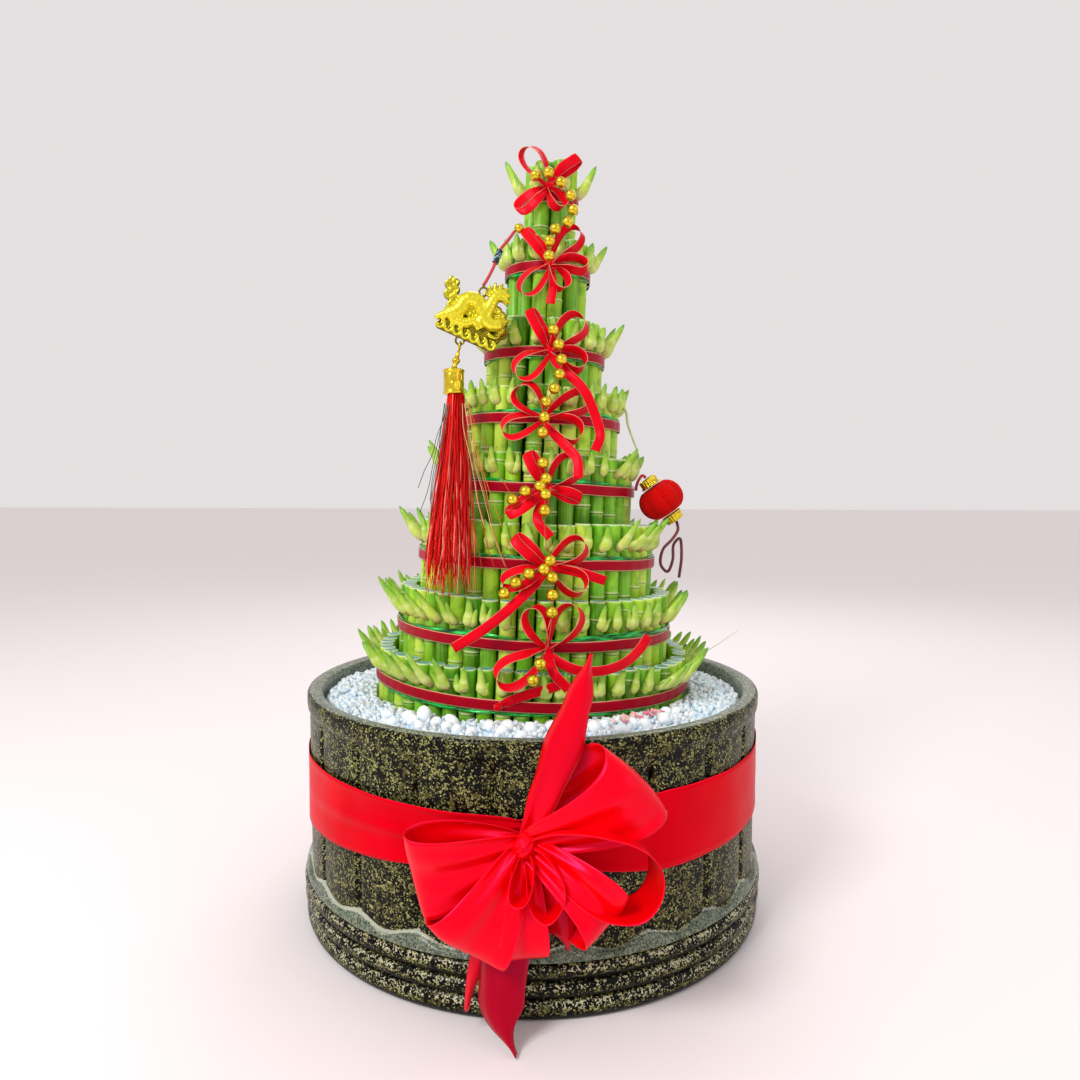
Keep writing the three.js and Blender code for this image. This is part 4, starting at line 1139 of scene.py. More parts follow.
def make_band(tier):
    """The ribbon round a tier, which rides on the stalks and dips a little between them."""
    def corner(u, v):
        angle = 2 * math.pi * u
        rise = RIBBON["width"] * (v - 0.5)
        wave = 0.5 * noise.noise(Vector((math.cos(angle) * 3, math.sin(angle) * 3, tier["outer"])))
        dip = 0.12 * math.cos(tier["stalks"] * (angle + math.pi / 2))
        away = tier["outer"] + RIBBON["clear"] - dip + 0.1 * math.sin(3 * angle) * (2 * v - 1)
        return Vector((away * math.cos(angle), away * math.sin(angle), tier["band"] + rise + wave))

    # The whole band is marked for its wider gold edge and for painted shade.
    return painted(hoop(max(4 * tier["stalks"], 72), 4, corner), "taut", 1)


def make_knot(knot, size):
    """The wrap round the middle of a bow, pulled tight into pleats."""
    def corner(u, v):
        turn = 2 * math.pi * u
        across = 2 * v - 1
        pinch = 1 - 0.35 * across ** 2 + 0.07 * math.cos(4 * math.pi * v + 3 * turn)
        away = Vector((3.1 * across, 2.6 * pinch * math.cos(turn), 3.0 * pinch * math.sin(turn)))
        return knot + away * size

    return hoop(20, 8, corner)


def make_tier_ribbon(tier):
    """A tier's band, with its knot, loops and ends."""
    bow = BOWS[tier["name"]]
    away = math.sqrt(tier["outer"] ** 2 - bow["x"] ** 2) + RIBBON["knot"]
    knot = Vector((bow["x"], -away, tier["band"] + bow.get("rise", 0)))
    shape = make_band(tier)
    join(shape, make_knot(knot, bow.get("knot", 1)))
    for loop in bow["loops"]:
        join(shape, small_loop(knot, *loop))
    for points in bow["tails"]:
        join(shape, small_tail(knot, points))
    shape.transform(TOWER)
    return shape


def ribbon_finish():
    """Red satin with a gold edge, with painted shade where it is drawn tight round a tier."""
    finish = Finish(
        "gold-edged satin", Specular_IOR_Level=0.2, Specular_Tint=(1, 0.3, 0.5, 1), Sheen_Weight=0.08,
        Sheen_Roughness=0.35, Sheen_Tint=(1, 0.1, 0.4, 1),
    )
    taut = finish.painted("taut")
    edge = finish.off_middle() > (taut * -0.045 + 0.472)
    weave = finish.cloud(0.9, detail=2, stretch=(1, 1, 0.4))
    red = finish.mix(finish.cloud(12, detail=1), "b80010", "ea0014")
    # Painted shade: the bands drawn tight round the tiers are darkened towards 8a0218.
    red = finish.mix(taut * 0.8, red, "8a0218")
    finish.set("Base Color", finish.mix(edge * 0.85, red, "dca884"))
    finish.set("Roughness", 0.32 + weave * 0.1)
    finish.bump(weave + edge * 0.8, 0.05)
    return finish


thin_satin = ribbon_finish()
for tier in TIERS:
    tied = add_piece(
        called(tier, "bow"), make_tier_ribbon(tier), thin_satin, "ribbon", tier["name"] + "_ribbon",
    )
    give_wall(tied, RIBBON["thick"])

# The garland is gold-plated plastic beads on a dull gold thread, hung down the front over the bows,
# with two short ends beside it. Some of the thread is bare.
BEAD = {"radius": 3.5, "pitch": 9.8, "thread": 0.24}
# How far the beads hang in front of the slope, where they lie on bows
HANG = 12.3
GARLAND = [
    [
        (-14, 367, 10.4), (-6, 371, 13), (4, 366, HANG), (14, 353, 12.5), (11, 339, 12), (1, 331, HANG),
        (0, 318, HANG), (1, 293, HANG), (1, 276, HANG), (6, 264, HANG), (10, 250, HANG), (7, 233, HANG),
        (1, 221, HANG), (1, 207, HANG), (-2, 197, HANG), (3, 179, HANG), (3, 160, HANG), (4, 142, HANG),
        (8, 126, HANG), (9, 108, HANG), (8, 88, HANG), (4, 76, HANG), (-2, 61, 11),
    ],
    [(4, 174, HANG), (-6, 170, HANG), (-14, 166, HANG), (-22, 152, 12)],
    [(8, 126, HANG), (-2, 124, HANG), (-11, 118, HANG), (-21, 108, 12)],
]
BARE = [(82, 100), (134, 157), (188, 201), (272, 312)]


def gold_finish(name, bright, dark):
    """Polished metal that is a little worn."""
    finish = Finish(name, Metallic=1.0, Coat_Weight=0.2)
    wear = finish.cloud(3, detail=2)
    finish.set("Base Color", finish.mix(wear, dark, bright))
    finish.set("Roughness", 0.16 + wear * 0.12)
    finish.bump(wear, 0.05)
    return finish


def make_bead():
    """One bead of the garland."""
    shape = bmesh.new()
    bmesh.ops.create_uvsphere(shape, u_segments=16, v_segments=10, radius=BEAD["radius"])
    return as_mesh(shape, "bead")


def make_garland():
    """The beads and their threads, as two shapes. The bare lengths have no beads."""
    beads = bmesh.new()
    threads = bmesh.new()
    bead = make_bead()
    for points in GARLAND:
        hung = [on_front(*point) for point in points]
        count = round(length_of(through(hung, 200)) / BEAD["pitch"])
        path = through(hung, 2 * count)
        for middle, before in zip(path[1::2], path[::2]):
            if any(low < middle.z < high for low, high in BARE):
                continue
            turn = (middle - before).to_track_quat("Z", "Y").to_matrix().to_4x4()
            move = TOWER @ Matrix.Translation(middle) @ turn
            bead.transform(move)
            beads.from_mesh(bead)
            bead.transform(move.inverted())
        join(threads, tube(path, BEAD["thread"], 6))
    threads.transform(TOWER)
    bpy.data.meshes.remove(bead)
    return beads, threads


gold = gold_finish("polished gold", "ffe640", "bc9a10")
beads, threads = make_garland()
add_piece("gold-beads", beads, gold, "beads", "bead_garland")
thread_finish = Finish("gold thread", Base_Color="8c4a24", Roughness=0.6)
thread_finish.bump(thread_finish.cloud(0.3), 0.1)
add_piece("bead-thread", threads, thread_finish, "cord")

# The wide ribbon is 44 mm red satin with a woven edge. It goes once round the pot, over the flutes,
# and is drawn in to the knot at the front, over a longer stretch on the left than on the right.
BAND = {
    "top": 113, "bottom": 70, "top_tilt": 3, "bottom_tilt": 4, "knot_top": 107, "knot_bottom": 90,
    "tight": 0.06, "left": 1.3, "right": 0.5, "cut": 44, "lift": 1, "thick": 0.3,
}
BIG_KNOT = Vector((-4, -157.4, 98))


def pot_radius(angle):
    """The radius that the stretched satin takes over the pot's panels and grooves."""
    return POT["body"] + 0.75 + 0.15 * math.cos(POT["flutes"] * angle)


def make_pot_band():
    """The satin round the pot, drawn together in pleats towards the knot."""
    def corner(u, v):
        # The angle from the knot, positive towards the right
        angle = (2 * math.pi * u + math.pi) % (2 * math.pi) - math.pi
        reach = BAND["right"] if angle > 0 else BAND["left"]
        share = min(max((abs(angle) - BAND["tight"]) / (reach - BAND["tight"]), 0), 1)
        spread = math.sqrt(share)
        low = lerp(BAND["knot_bottom"], BAND["bottom"] + BAND["bottom_tilt"] * math.sin(angle), spread)
        high = lerp(BAND["knot_top"], BAND["top"] + BAND["top_tilt"] * math.sin(angle), spread)
        height = lerp(low, high, v) + 0.5 * math.sin(5 * angle) * spread
        pleat = (1 - spread) * 1.2 * (1 + math.cos(8 * math.pi * v))
        folds = 1 + math.cos(4.4 * math.pi * v + 1.5 * angle)
        pleat += 1.3 * (1 - share) * smooth_step(share, 0, 0.25) * folds
        ripple = 0.25 * noise.noise(Vector((angle * 9, v * 3, 2)))
        radius = pot_radius(angle) + 0.3 + pleat + ripple
        return Vector((radius * math.sin(angle), -radius * math.cos(angle), height))

    return hoop(440, 14, corner)


def satin_finish(name, gloss, dark, bright):
    """Bright satin. Where the bow carries painted shade, its red is painted darker."""
    finish = Finish(name, Specular_IOR_Level=gloss, Specular_Tint=(1, 0.08, 0.42, 1), Anisotropic=0.5)
    weave = finish.cloud(0.6, detail=2)
    red = finish.mix(finish.cloud(30, detail=1), dark, bright)
    # Painted shade: where the bow is marked for it, the red is darkened towards 8a0004.
    red = finish.mix(finish.painted("dull"), red, "8a0004")
    finish.set("Base Color", finish.mix((finish.off_middle() > 0.485) * 0.35, red, "ff2040"))
    finish.set("Roughness", 0.27 + weave * 0.08)
    finish.bump(weave, 0.03)
    return finish


taut_satin = satin_finish("taut satin", 0.04, "c4000e", "e00018")
band = add_piece("satin-band", make_pot_band(), taut_satin, "satin", "pot_ribbon")
give_wall(band, BAND["thick"])

# The big bow is tied from the same satin. Five of its loops show their broad side, one more lies on
# its edge at the right, so that it is seen into, and two small ones stand out under the knot. One
# end stands up in front of the stalks, one points down to the right, and two hang down.
LOBES = [
    {"turn": 32, "length": 65, "deep": 10, "tip": 42, "lean": 0.1, "skew": -6, "slant": -5, "swell": 3},
    {"turn": 193, "length": 56, "deep": 8, "tip": 42, "lean": 0.12, "skew": 2, "slant": 0, "swell": 2},
    {"turn": 268, "length": 52, "deep": 8, "tip": 26, "lean": 0.2, "skew": 2, "slant": 0, "swell": 4},
    {"turn": 236, "length": 54, "deep": 8, "tip": 43, "lean": 0.28, "skew": 3, "slant": 0, "swell": 3},
    {"turn": -39, "length": 50, "deep": 9, "tip": 32, "lean": 0.4, "skew": 7, "slant": 0, "swell": 3},
]
# Loops seen into: their outline from the knot as [right, up], how far their back edge stands out from
# the pot and how wide they are from back to front
ROLLED = [
    {
        "outline": [
            (0, 1), (19, 9), (38, 10.5), (56, 5.5), (65, -4), (65, -17), (57, -27), (41, -27), (21, -17),
            (0, -2),
        ],
        "back": 4, "wide": 26,
    },
    {
        "outline": [(1, -1), (6.5, -7), (6.8, -16), (2.4, -23), (-2.5, -22), (-3.5, -13), (-0.5, -3)],
        "back": 8, "wide": 15,
    },
    {
        "outline": [(1, 0), (12, -2), (20, -10), (21.5, -21), (14, -31), (6, -25), (1, -8)],
        "back": 9, "wide": 14,
    },
]
ROLLED_TILT = Vector((-0.16, 0, 0.1))
# The ends: how far each is folded back along its edge, how much painted shade darkens it, and its
# places as x, y, z and the width there
BIG_TAILS = [
    (7, 0.32, [
        (-3, -157, 100, 9), (6, -158, 125, 17), (16, -157, 152, 22), (24, -155, 175, 15),
        (29, -154, 192, 2),
    ]),
    (7, 0.85, [
        (-6, -158, 96, 9), (-13, -161, 60, 25), (-16, -166, 34, 28), (-15, -172, 13, 25),
        (-8, -177, 1.4, 2),
    ]),
    (2, 0.4, [(-7, -156.5, 95, 8), (-22, -157.5, 55, 12), (-31, -159, 26, 9), (-33, -160, 13, 3)]),
    (2, 0.5, [(-2, -162, 90, 8), (8, -168, 72, 20), (15, -169, 58, 17), (17.5, -168, 49, 2)]),
]


def lobe(turn, length, deep, tip, lean, skew, slant, swell):
    """A loop whose broad side faces the front, gathered to the knot. Its two layers stand apart by
    the skew, so that it is seen into a little from one side. Its end is as wide as the tip, cut
    aslant and swollen."""
    out = in_plane(turn)
    across = in_plane(turn + 90)

    def corner(u, v):
        opened = math.sin(math.pi * u)
        layer = math.sin(2 * math.pi * u)
        edge = 2 * v - 1
        width = lerp(8, tip, opened ** 0.7)
        depth = deep * layer + lean * length * opened + 1.6 * (1 - 2 * u)
        depth += 1.9 * (1 - opened) ** 0.8 * math.cos(5 * math.pi * v + 2 * opened)
        depth += 2.6 * opened * math.sin(2.8 * edge + turn) * (1 if u < 0.5 else 0.4)
        reach = length * opened + swell * opened ** 3 * (0.6 - edge ** 2) + slant * opened * edge
        side = skew * layer + width * edge / 2
        return BIG_KNOT + out * reach + FRONT * depth + across * side

    return sheet(56, 18, corner)


def rolled_loop(outline, back, wide):
    """A loop that lies on its edge, so that its opening faces the front."""
    steps = 60
    path = through([(x, 0, z) for x, z in outline], steps)
    across = (FRONT + ROLLED_TILT).normalized()

    def corner(u, v):
        spread = smooth_step(min(u, 1 - u), 0, 0.3)
        width = lerp(7, wide, spread)
        depth = lerp(4, back + wide / 2, spread)
        flute = 0.8 * math.sin(3 * math.pi * v + 9 * u) * (1 - spread)
        flare = 1 + 0.06 * (2 * v - 1) * spread
        spot = path[round(u * steps)] * flare
        return BIG_KNOT + spot + across * (depth + width * (v - 0.5)) + Vector((0, 0, flute))

    return sheet(steps, 10, corner)


def big_tail(points, fold):
    """An end of the bow through places that each have a width, folded back along its left edge."""
    steps = 12 * (len(points) - 1)
    path = through([point[:3] for point in points], steps)

    def corner(u, v):
        step = round(u * steps)
        along = heading(path, step)
        across = Vector((-along.z, 0, along.x)).normalized()
        if across.x < 0:
            across.negate()
        segment = min(int(u * (len(points) - 1)), len(points) - 2)
        share = u * (len(points) - 1) - segment
        width = lerp(points[segment][3], points[segment + 1][3], smooth_step(share, 0, 1))
        creased = fold * max(0, 0.24 - v) / 0.24 * math.sin(math.pi * u)
        depth = 1.3 * math.cos(2 * math.pi * v + 3 * u) - creased
        return path[step] + across * (width * (v - 0.5) + 0.4 * creased) + FRONT * depth

    return sheet(steps, 12, corner)


def make_big_knot():
    """The wrapped middle of the bow, in pleats that run from the upper right to the lower left."""
    shape = new_shape()
    bmesh.ops.create_uvsphere(shape, u_segments=40, v_segments=20, radius=1, calc_uvs=True)
    for vert in shape.verts:
        pleat = 1 + 0.1 * math.cos(9 * math.atan2(vert.co.x, vert.co.y) + 3 * vert.co.z)
        vert.co = Vector((vert.co.x * 5.5 * pleat, vert.co.y * 8 * pleat, vert.co.z * 6.5))
    turn = Matrix.Rotation(math.radians(35), 4, "Y")
    shape.transform(Matrix.Translation(BIG_KNOT + FRONT * 3) @ turn)
    return shape


def with_painted_shade(shape, amount):
    """Paints shade on a part of the bow, from nothing at its first end to this amount."""
    dull = shape.verts.layers.float.new("dull")
    uv = shape.loops.layers.uv.active
    for face in shape.faces:
        for loop in face.loops:
            loop.vert[dull] = amount * smooth_step(loop[uv].uv.x, 0, 0.4)
    return shape


def make_big_bow():
    """The knot with its loops and ends, each with painted shade that grows towards its far end."""
    shape = new_shape("dull")
    join(shape, with_painted_shade(make_big_knot(), 0.2))
    for loop in LOBES:
        join(shape, with_painted_shade(lobe(**loop), 0.1))
    for loop in ROLLED:
        join(shape, with_painted_shade(rolled_loop(**loop), 0.12))
    for fold, dull, points in BIG_TAILS:
        join(shape, with_painted_shade(big_tail(points, fold), dull))
    return shape


satin = satin_finish("red satin", 0.62, "e60004", "fa0008")
bow = add_piece("satin-bow", make_big_bow(), satin, "satin", "pot_bow")
give_wall(bow, BAND["thick"])

# The charm is a gilt casting: a dragon coiled over a row of cloud scrolls, with a wreath of cloud
# behind its head and a flaming tail, an eye at the top for the cord and one below for the tassel.
CHARM = Vector((-36, -50, 380))
LINK = {"eye": (-45.6, -50, 362.5), "length": 15.1}
CAP = {"place": Vector((-49, -53, 348)), "radius": 6.2, "height": 15.5}


def make_charm():
    """The charm's figures, as shapes that overlap, with the charm's middle at the origin."""
    draw = random.Random(8)
    shape = bmesh.new()

    def ball(x, y, z, wide, deep, tall):
        part = bmesh.new()
        bmesh.ops.create_uvsphere(part, u_segments=16, v_segments=10, radius=1)
        part.transform(Matrix.Translation((x, y, z)) @ Matrix.Diagonal((wide, deep, tall, 1)))
        join(shape, part)

    def ring(x, y, z, big, small, start=0, sweep=360):
        steps = max(round(sweep / 18), 4)
        path = []
        for i in range(steps + 1):
            angle = math.radians(start + sweep * i / steps)
            path.append(Vector((x + big * math.cos(angle), y, z + big * math.sin(angle))))
        join(shape, tube(path, small, 8))

    def body(points, thick, thin, bumps):
        def girth(share):
            return lerp(thick, thin, share) * (1 + 0.025 * math.cos(bumps * 2 * math.pi * share))

        join(shape, tube(through(points, 48), girth, 16))

    # The ground that the dragon is cast on, and the plinth under it with its row of scrolls
    for i in range(11):
        x = lerp(-18, 16, i / 10)
        ball(x, 0.9, lerp(-1, -6, i / 10) + 2.5 * math.sin(1.7 * i), 4.4, 1.4, 5.4)
    for x, z in [
        (-4, 2.5), (0, 1.5), (4, 1), (-1, 5), (3, 4.5), (8, 0), (8.5, 4), (13.5, 3.5), (16, 0.5),
        (12.5, -1.5), (17, -3), (13.5, -6), (15.5, -8.5),
    ]:
        ball(x, -0.6, z, 3.2, 1.8, 3.2)
        ring(x, -2.3, z, 1.5, 0.55, start=40 * x, sweep=290)
    for i in range(12):
        z = lerp(-3, -13, i / 11) + 1.2 * math.sin(2.3 * i)
        ball(lerp(-17, 12, i / 11), 0.5, z, 3.6, 1.8, 3.6)
    for i in range(25):
        ball(lerp(-22, 9.5, i / 24), 0.6, lerp(-4.5, -18.5, i / 24), 2.6, 1.8, 2.6)
    for i in range(7):
        x = -21 + i * 5.1
        z = -3.8 - i * 2.3
        ring(x, -2.8, z, 2.5, 0.95, start=160, sweep=270)
        ball(x + 0.6, -2.4, z + 0.3, 0.9, 1, 0.9)
    # The dragon's coils, neck, head and tail
    body([
        (-17, -1.5, 1), (-10, -2, 4), (-5, -2.2, 10), (2, -2.2, 9), (5, -2, 1), (10, -2, -5),
        (16, -1.6, -5),
    ], 5.2, 4, 16)
    body([(3, -1.2, -4), (8, -1.8, 4), (12, -2, 11), (16, -1.5, 14), (20, -1, 11)], 4.8, 2.6, 12)
    body([(-14, -1.6, -1), (-6, -2.4, -4), (0, -2.6, -3), (3, -2.4, -8)], 3.8, 2.6, 10)
    ball(-19, -2.4, 0.8, 4, 2.6, 2.8)
    ball(-22.5, -2.6, -0.2, 2.4, 2, 1.8)
    ring(-17.6, -3.8, 2.8, 1.1, 0.5)
    ball(-17.6, -4.2, 2.8, 0.6, 0.6, 0.6)
    for x, z in [(16, -8), (20, -3), (14, -13)]:
        body([(x - 6, -1.5, z + 2), (x - 2, -1.8, z), (x + 1, -1, z + 1)], 1.8, 0.5, 6)
    # The cloud that rises behind the head
    for x, z, size in [
        (-14, 7, 4), (-12.5, 11, 3.8), (-16, 14, 3.6), (-12.5, 16.5, 3.4), (-16, 20, 3),
        (-11.8, 21.2, 2.6), (-14, 23, 2),
    ]:
        ball(x, 0, z, size, 2.2, size)
        ring(x, -1.9, z, 0.62 * size, 0.26 * size, start=draw.uniform(0, 360), sweep=290)
    # The mane, a sheaf of short overlapping flames
    for i in range(14):
        turn = math.radians(-40 + 15 * i)
        tip = Vector((math.cos(turn), 0, math.sin(turn)))
        start = Vector((13.5 + 1.5 * math.cos(turn), -1.2 - 0.9 * (i % 2), 11.5 + 1.5 * math.sin(turn)))
        side = Vector((-tip.z, 0, tip.x))
        reach = 7.6 if i % 2 else 6
        join(shape, tube(
            through([start, start + tip * reach * 0.55 + side * 0.9, start + tip * reach], 10),
            lambda u: lerp(1.7, 0.75, u), 8,
        ))
    ring(5, 0, 15.5, 2.6, 0.75)
    ring(-9.6, 0, -14, 2.6, 0.75)
    return shape


def cast_in_one(piece, voxel):
    """Joins all that overlaps in a piece into one skin."""
    cast = piece.modifiers.new("Cast", "REMESH")
    cast.mode = "VOXEL"
    cast.voxel_size = voxel * MM
    soften = piece.modifiers.new("Soften", "SMOOTH")
    soften.factor = 0.5
    soften.iterations = 3
    finished = piece.evaluated_get(bpy.context.evaluated_depsgraph_get())
    whole = bpy.data.meshes.new_from_object(finished)
    piece.modifiers.clear()
    piece.data = whole
    whole.shade_smooth()


def gilt_finish():
    """Yellow gilding, with brown painted shade in the hollows between the figures."""
    finish = Finish("yellow gilding", Metallic=0.75, Specular_IOR_Level=0.4)
    depth = (finish.split(finish.place())[1] - (CHARM.y - 6.5)) * 0.1
    wear = finish.cloud(2.4, detail=2)
    gilding = finish.mix(wear, "ccbc10", "fff644")
    # Painted shade: deeper in the casting, though not at its back, the gilding is darkened to brown.
    hollow = finish.ramp(
        depth + (wear - 0.5) * 0.2, (0.26, "000000"), (0.62, "ffffff"), (0.76, "ffffff"),
        (0.84, "000000"),
    )
    finish.set("Base Color", finish.mix(hollow * 0.9, gilding, "4c3604"))
    finish.set("Roughness", 0.14 + wear * 0.12)
    finish.bump(wear, 0.03)
    return finish


charm_shape = make_charm()
charm_shape.transform(Matrix.Translation(CHARM))
charm = add_piece("gilt-charm", charm_shape, gilt_finish(), "gold", "charm")
cast_in_one(charm, 0.42)


# The tassel hangs from a gold link and an embossed gold cap. It is loose red silk, with a few dark
# green threads to the left of it and some stray orange ones to the right.
STEM = [
    (POLE, 0.9), (1.7, 0.9), (1.9, 1.5), (1.1, 2.4), (1.6, 3.4), (2.5, 5.0), (2.5, 5.8), (1.6, 7.4),
    (1.1, 8.4), (1.3, 9.4), (0.9, 11), (0.6, 12.6), (POLE, 12.9),
]


def make_link():
    """An eye on a turned stem, which points at the charm."""
    shape = bmesh.new()
    eye = []
    for i in range(21):
        angle = 2 * math.pi * i / 20
        eye.append(Vector((0, 2.7 * math.cos(angle), LINK["length"] + 2.7 * math.sin(angle))))
    join(shape, tube(eye, 0.5))
    join(shape, turned(STEM, 20))
    towards = (Vector(LINK["eye"]) - CAP["place"]).normalized()
    turn = Vector((0, 0, 1)).rotation_difference(towards).to_matrix().to_4x4()
    shape.transform(Matrix.Translation(CAP["place"]) @ turn)
    return shape


def make_cap():
    """A turned cap, whose side is embossed with leaves and ribs."""
    radius = CAP["radius"]
    height = CAP["height"]
    outline = [
        (POLE, -height), (radius - 0.3, -height), (radius + 0.1, -height + 0.2),
        (radius + 0.6, -height + 0.9), (radius + 0.5, -height + 1.6), (radius - 0.2, -height + 2.2),
    ]
    outline += [(radius - 0.25, lerp(-height + 2.6, -2.8, i / 24)) for i in range(25)]
    outline += [
        (radius - 0.1, -2.3), (radius + 0.4, -1.7), (radius + 0.4, -1.0), (radius - 0.2, -0.2),
        (radius - 1, 0), (POLE, 0),
    ]
    shape = turned(outline, 96)
    for vert in shape.verts:
        if -height + 2.4 < vert.co.z < -2.6 and math.hypot(vert.co.x, vert.co.y) > radius - 0.5:
            angle = math.atan2(vert.co.y, vert.co.x)
            share = (vert.co.z + height - 2.6) / (height - 5.4)
            leaf = math.cos(8 * angle) * math.sin(2 * math.pi * share)
            rib = math.cos(16 * angle + 3)
            raised = 0.3 * smooth_step(leaf, 0.1, 0.4) + 0.18 * smooth_step(rib, 0.5, 0.9)
            vert.co.x *= 1 + raised / radius
            vert.co.y *= 1 + raised / radius
    shape.transform(Matrix.Translation(CAP["place"]))
    return shape


TASSEL = {
    "x": -47.5, "top": 332.2, "bottom": 217, "drift": -1.2, "strands": 330, "thick": 0.38, "locks": 36,
    "gathered": 0.6,
}
TASSEL_LEVELS = [
    (0, 5.2, 5.2, -53.6), (0.24, 8.2, 6.2, -60), (0.56, 12.4, 7, -72), (0.82, 15.2, 8, -83),
    (1, 16.6, 8.6, -87),
]


def tassel_at(down):
    """Half width, half depth and middle of the tassel, a share of the way down."""
    for upper, lower in zip(TASSEL_LEVELS, TASSEL_LEVELS[1:]):
        if down <= lower[0]:
            share = (down - upper[0]) / (lower[0] - upper[0])
            return [lerp(a, b, share) for a, b in zip(upper[1:], lower[1:])]
    return TASSEL_LEVELS[-1][1:]


def make_strand(draw, angle, share, reach, lock):
    """A strand that starts at an angle and a share of the way out, and leans towards its lock."""
    points = []
    wander = draw.uniform(-2.6, 2.6)
    phase = draw.uniform(0, 6)
    stray = draw.uniform(1.25, 1.7) if draw.random() < 0.08 else 1
    for i in range(8):
        down = reach * i / 7
        across, deep, middle = tassel_at(min(down, 1))
        size = lerp(share, lock[1], TASSEL["gathered"] * down) * lerp(1, stray, down)
        turn = lerp(angle, lock[0], TASSEL["gathered"] * down)
        sway = wander * down * math.sin(5 * down + phase) + draw.uniform(-0.6, 0.6) * (0.4 + down)
        x = TASSEL["x"] + TASSEL["drift"] * down + across * size * math.cos(turn) + sway
        y = middle + deep * size * math.sin(turn) + draw.uniform(-0.4, 0.4)
        points.append((x, y, lerp(TASSEL["top"], TASSEL["bottom"], down)))
    return tube(through(points, 16), lambda u: TASSEL["thick"] * (1 - 0.5 * u), 3)


def make_tassel(seed):
    """The strands, each with one tone along its length."""
    draw = random.Random(seed)
    shape = new_shape("tone")
    count = TASSEL["locks"]
    locks = [(2 * math.pi * i / count, math.sqrt(draw.random())) for i in range(count + 1)]
    for _ in range(TASSEL["strands"]):
        angle = draw.uniform(0, 2 * math.pi)
        lock = locks[round(count * angle / (2 * math.pi))]
        reach = draw.uniform(0.84, 1.05) if draw.random() < 0.6 else draw.uniform(0.5, 0.95)
        strand = make_strand(draw, angle, math.sqrt(draw.random()), reach, lock)
        join(shape, painted(strand, "tone", draw.random()))
    return shape


STRAYS = [
    {
        "name": "orange-strays", "count": 9, "from": (4, 9), "to": (17, 36), "fall": (55, 104),
        "dark": "a03a14", "bright": "e8924a",
    },
    {
        "name": "green-strays", "count": 7, "from": (-7, -3), "to": (-19, -13), "fall": (50, 100),
        "dark": "12301c", "bright": "4c7c74",
    },
]


def make_strays(stray, seed):
    """Loose threads that stand off from the tassel on one side."""
    draw = random.Random(seed)
    shape = new_shape("tone")
    for _ in range(stray["count"]):
        start = draw.uniform(*stray["from"])
        reach = draw.uniform(*stray["to"])
        fall = draw.uniform(*stray["fall"])
        points = []
        for i in range(6):
            down = i / 5
            x = TASSEL["x"] + lerp(start, reach, down ** 1.3) + draw.uniform(-0.8, 0.8)
            y = lerp(-61, -82, down) + draw.uniform(-0.5, 0.5)
            points.append((x, y, TASSEL["top"] - 6 - fall * down))
        strand = tube(through(points, 16), 0.22, 3)
        join(shape, painted(strand, "tone", draw.random()))
    return shape


def silk_finish(name, dark, bright):
    """Silk with a tone for each strand. The palest ones catch the light."""
    finish = Finish(name, Roughness=0.36, Specular_IOR_Level=0.2, Specular_Tint=(1, 0.3, 0.4, 1))
    tone = finish.painted("tone")
    silk = finish.mix(tone, dark, bright)
    finish.set("Base Color", finish.mix((tone > 0.86) * 0.55, silk, "ffc8b8"))
    return finish


add_piece("gold-link", make_link(), gold, "gold", "charm_link")
add_piece("embossed-cap", make_cap(), gold, "gold", "tassel_cap")
add_piece("silk-tassel", make_tassel(21), silk_finish("red silk", "b40606", "ff2a1c"), "silk", "tassel")
for i, stray in enumerate(STRAYS):
    look = silk_finish(stray["name"].replace("-", " "), stray["dark"], stray["bright"])
    add_piece(stray["name"], make_strays(stray, 31 + i), look, "silk")

# Over the charm's cord, at its middle, dark teal thread is wound tight, with a small gold bead where
# the cord starts.
WRAP = {"radius": 1.75, "thread": 0.3, "turns": 20, "sides": 12, "from": 24, "to": 36}
CORD_BEAD_RADIUS = 3.1
CORD_BEAD = Vector((-9.7, -29.3, 440.6))


def make_wrap():
    """Thread coiled round the middle of the charm's cord."""
    core = through(CHARM_CORD, 60)
    low = core[WRAP["from"]]
    high = core[WRAP["to"]]
    axis = (high - low).normalized()
    side = axis.orthogonal().normalized()
    up = axis.cross(side)
    steps = WRAP["turns"] * WRAP["sides"]
    coil = []
    for i in range(steps + 1):
        angle = 2 * math.pi * i / WRAP["sides"]
        outwards = side * math.cos(angle) + up * math.sin(angle)
        coil.append(low.lerp(high, i / steps) + outwards * WRAP["radius"])
    return tube(coil, WRAP["thread"], 6)


wrap_finish = Finish("teal thread", Roughness=0.5)
pale_fleck = wrap_finish.mask(wrap_finish.cloud(1.3, detail=1), 0.58, 0.62)
wrap_finish.set("Base Color", wrap_finish.mix(pale_fleck, "06262e", "8fb4c4"))
add_piece("thread-wrap", make_wrap(), wrap_finish, "wrap", "cord_wrap")

start_bead = bmesh.new()
bmesh.ops.create_uvsphere(start_bead, u_segments=20, v_segments=12, radius=CORD_BEAD_RADIUS)
start_bead.transform(Matrix.Translation(CORD_BEAD))
add_piece("cord-start-bead", start_bead, gold, "gold", "cord_bead")

# The lantern is a foam ball flocked in red, flattened between two gold caps with serrated sides.
LANTERN = {
    "place": (84, -21, 268.5), "lean": 36, "across": 15, "along": 11, "cap": 6, "cap_height": 5.4,
    "teeth": 18,
}
LEANING = Matrix.Rotation(-math.radians(LANTERN["lean"]), 4, "Y")
LANTERN_TURN = Matrix.Translation(LANTERN["place"]) @ LEANING


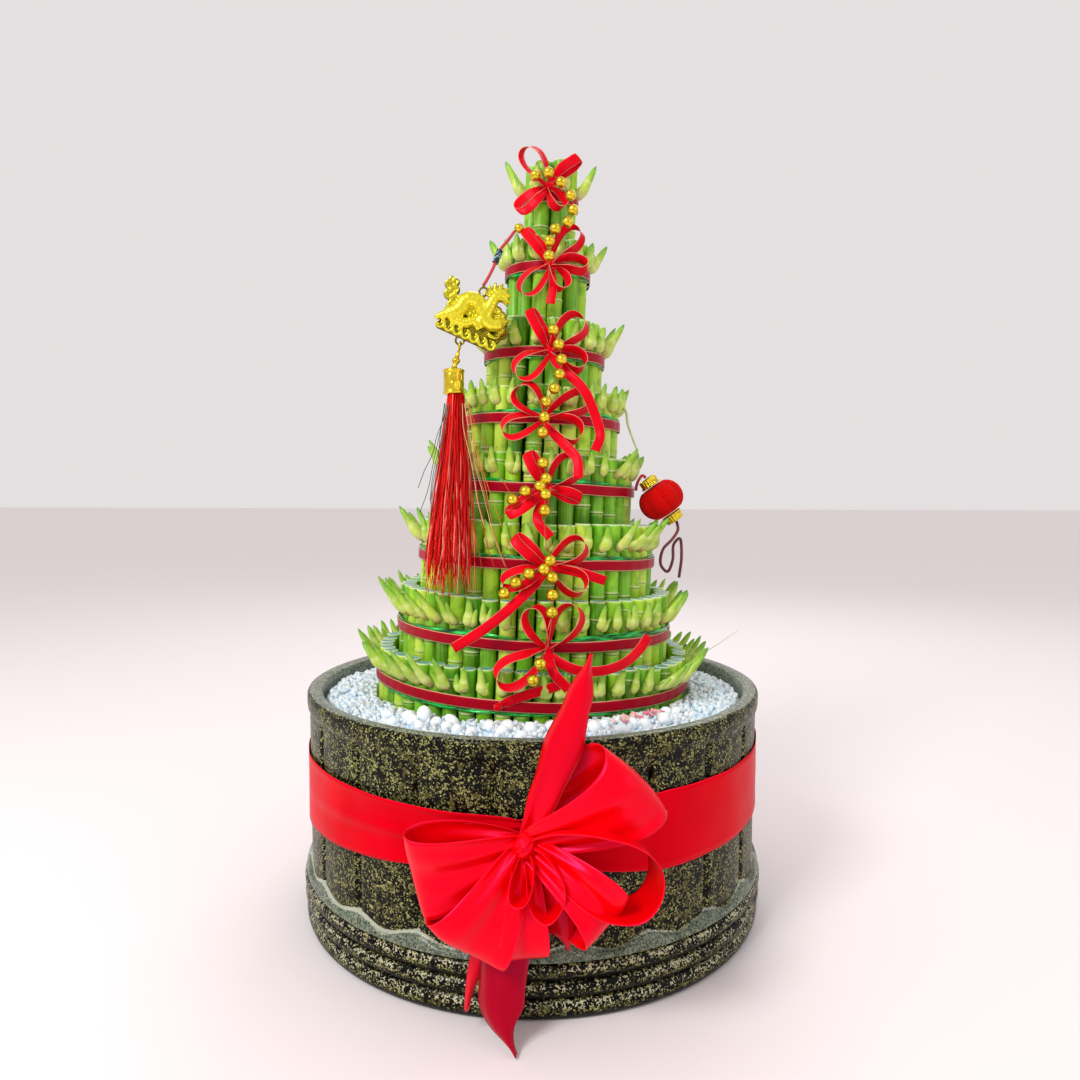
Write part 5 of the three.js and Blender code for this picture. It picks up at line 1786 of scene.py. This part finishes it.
def make_lantern():
    """A ball, dimpled at its poles and drawn in along its seams."""
    shape = bmesh.new()
    bmesh.ops.create_uvsphere(shape, u_segments=96, v_segments=56, radius=1)
    for vert in shape.verts:
        fuzz = 1 + 0.008 * noise.noise(vert.co * 28)
        gore = 0.92 + 0.09 * abs(math.sin(4 * math.atan2(vert.co.y, vert.co.x))) ** 0.6
        away = math.hypot(vert.co.x, vert.co.y)
        wide = LANTERN["across"] * fuzz * (1 + 0.12 * vert.co.z ** 2)
        wide *= lerp(1, gore, smooth_step(away, 0.3, 0.7))
        dimple = 1.08 - 0.3 * (1 - smooth_step(away, 0.1, 0.62))
        tall = LANTERN["along"] * fuzz * dimple
        vert.co = Vector((vert.co.x * wide, vert.co.y * wide, vert.co.z * tall))
    shape.transform(LANTERN_TURN)
    return shape


def make_lantern_cap(side):
    """A cap like a coin with a hollow top, whose side is cut into teeth."""
    near = LANTERN["along"] + 0.3
    far = near + LANTERN["cap_height"]
    wide = LANTERN["cap"]
    shape = turned([
        (POLE, near), (wide - 0.6, near - 0.2), (wide + 0.5, near + 0.1), (wide + 0.6, near + 0.5),
        (wide - 0.3, near + 1.2), (wide - 0.4, far - 0.9), (wide - 0.2, far - 0.5), (wide - 0.7, far),
        (wide - 1.6, far - 0.1), (wide - 1.8, far - 0.8), (POLE, far - 0.8),
    ], 72)
    for vert in shape.verts:
        away = math.hypot(vert.co.x, vert.co.y)
        if away > wide - 1:
            tooth = 1 + 0.06 * math.cos(LANTERN["teeth"] * math.atan2(vert.co.y, vert.co.x))
            vert.co.x *= tooth
            vert.co.y *= tooth
    if side < 0:
        shape.transform(Matrix.Rotation(math.pi, 4, "X"))
    shape.transform(LANTERN_TURN)
    return shape


flock = Finish(
    "red flock", Roughness=0.95, Specular_IOR_Level=0.1, Sheen_Weight=0.25, Sheen_Tint=(1, 0.1, 0.08, 1),
)
pile = flock.cloud(0.8, detail=3)
flock.set("Base Color", flock.mix(pile, "7c0000", "ee0602"))
flock.bump(pile, 0.5)
add_piece("flocked-lantern", make_lantern(), flock, "flock", "lantern")
add_piece("upper-gold-cap", make_lantern_cap(1), gold, "gold", "lantern_cap_upper")
add_piece("lower-gold-cap", make_lantern_cap(-1), gold, "gold", "lantern_cap_lower")
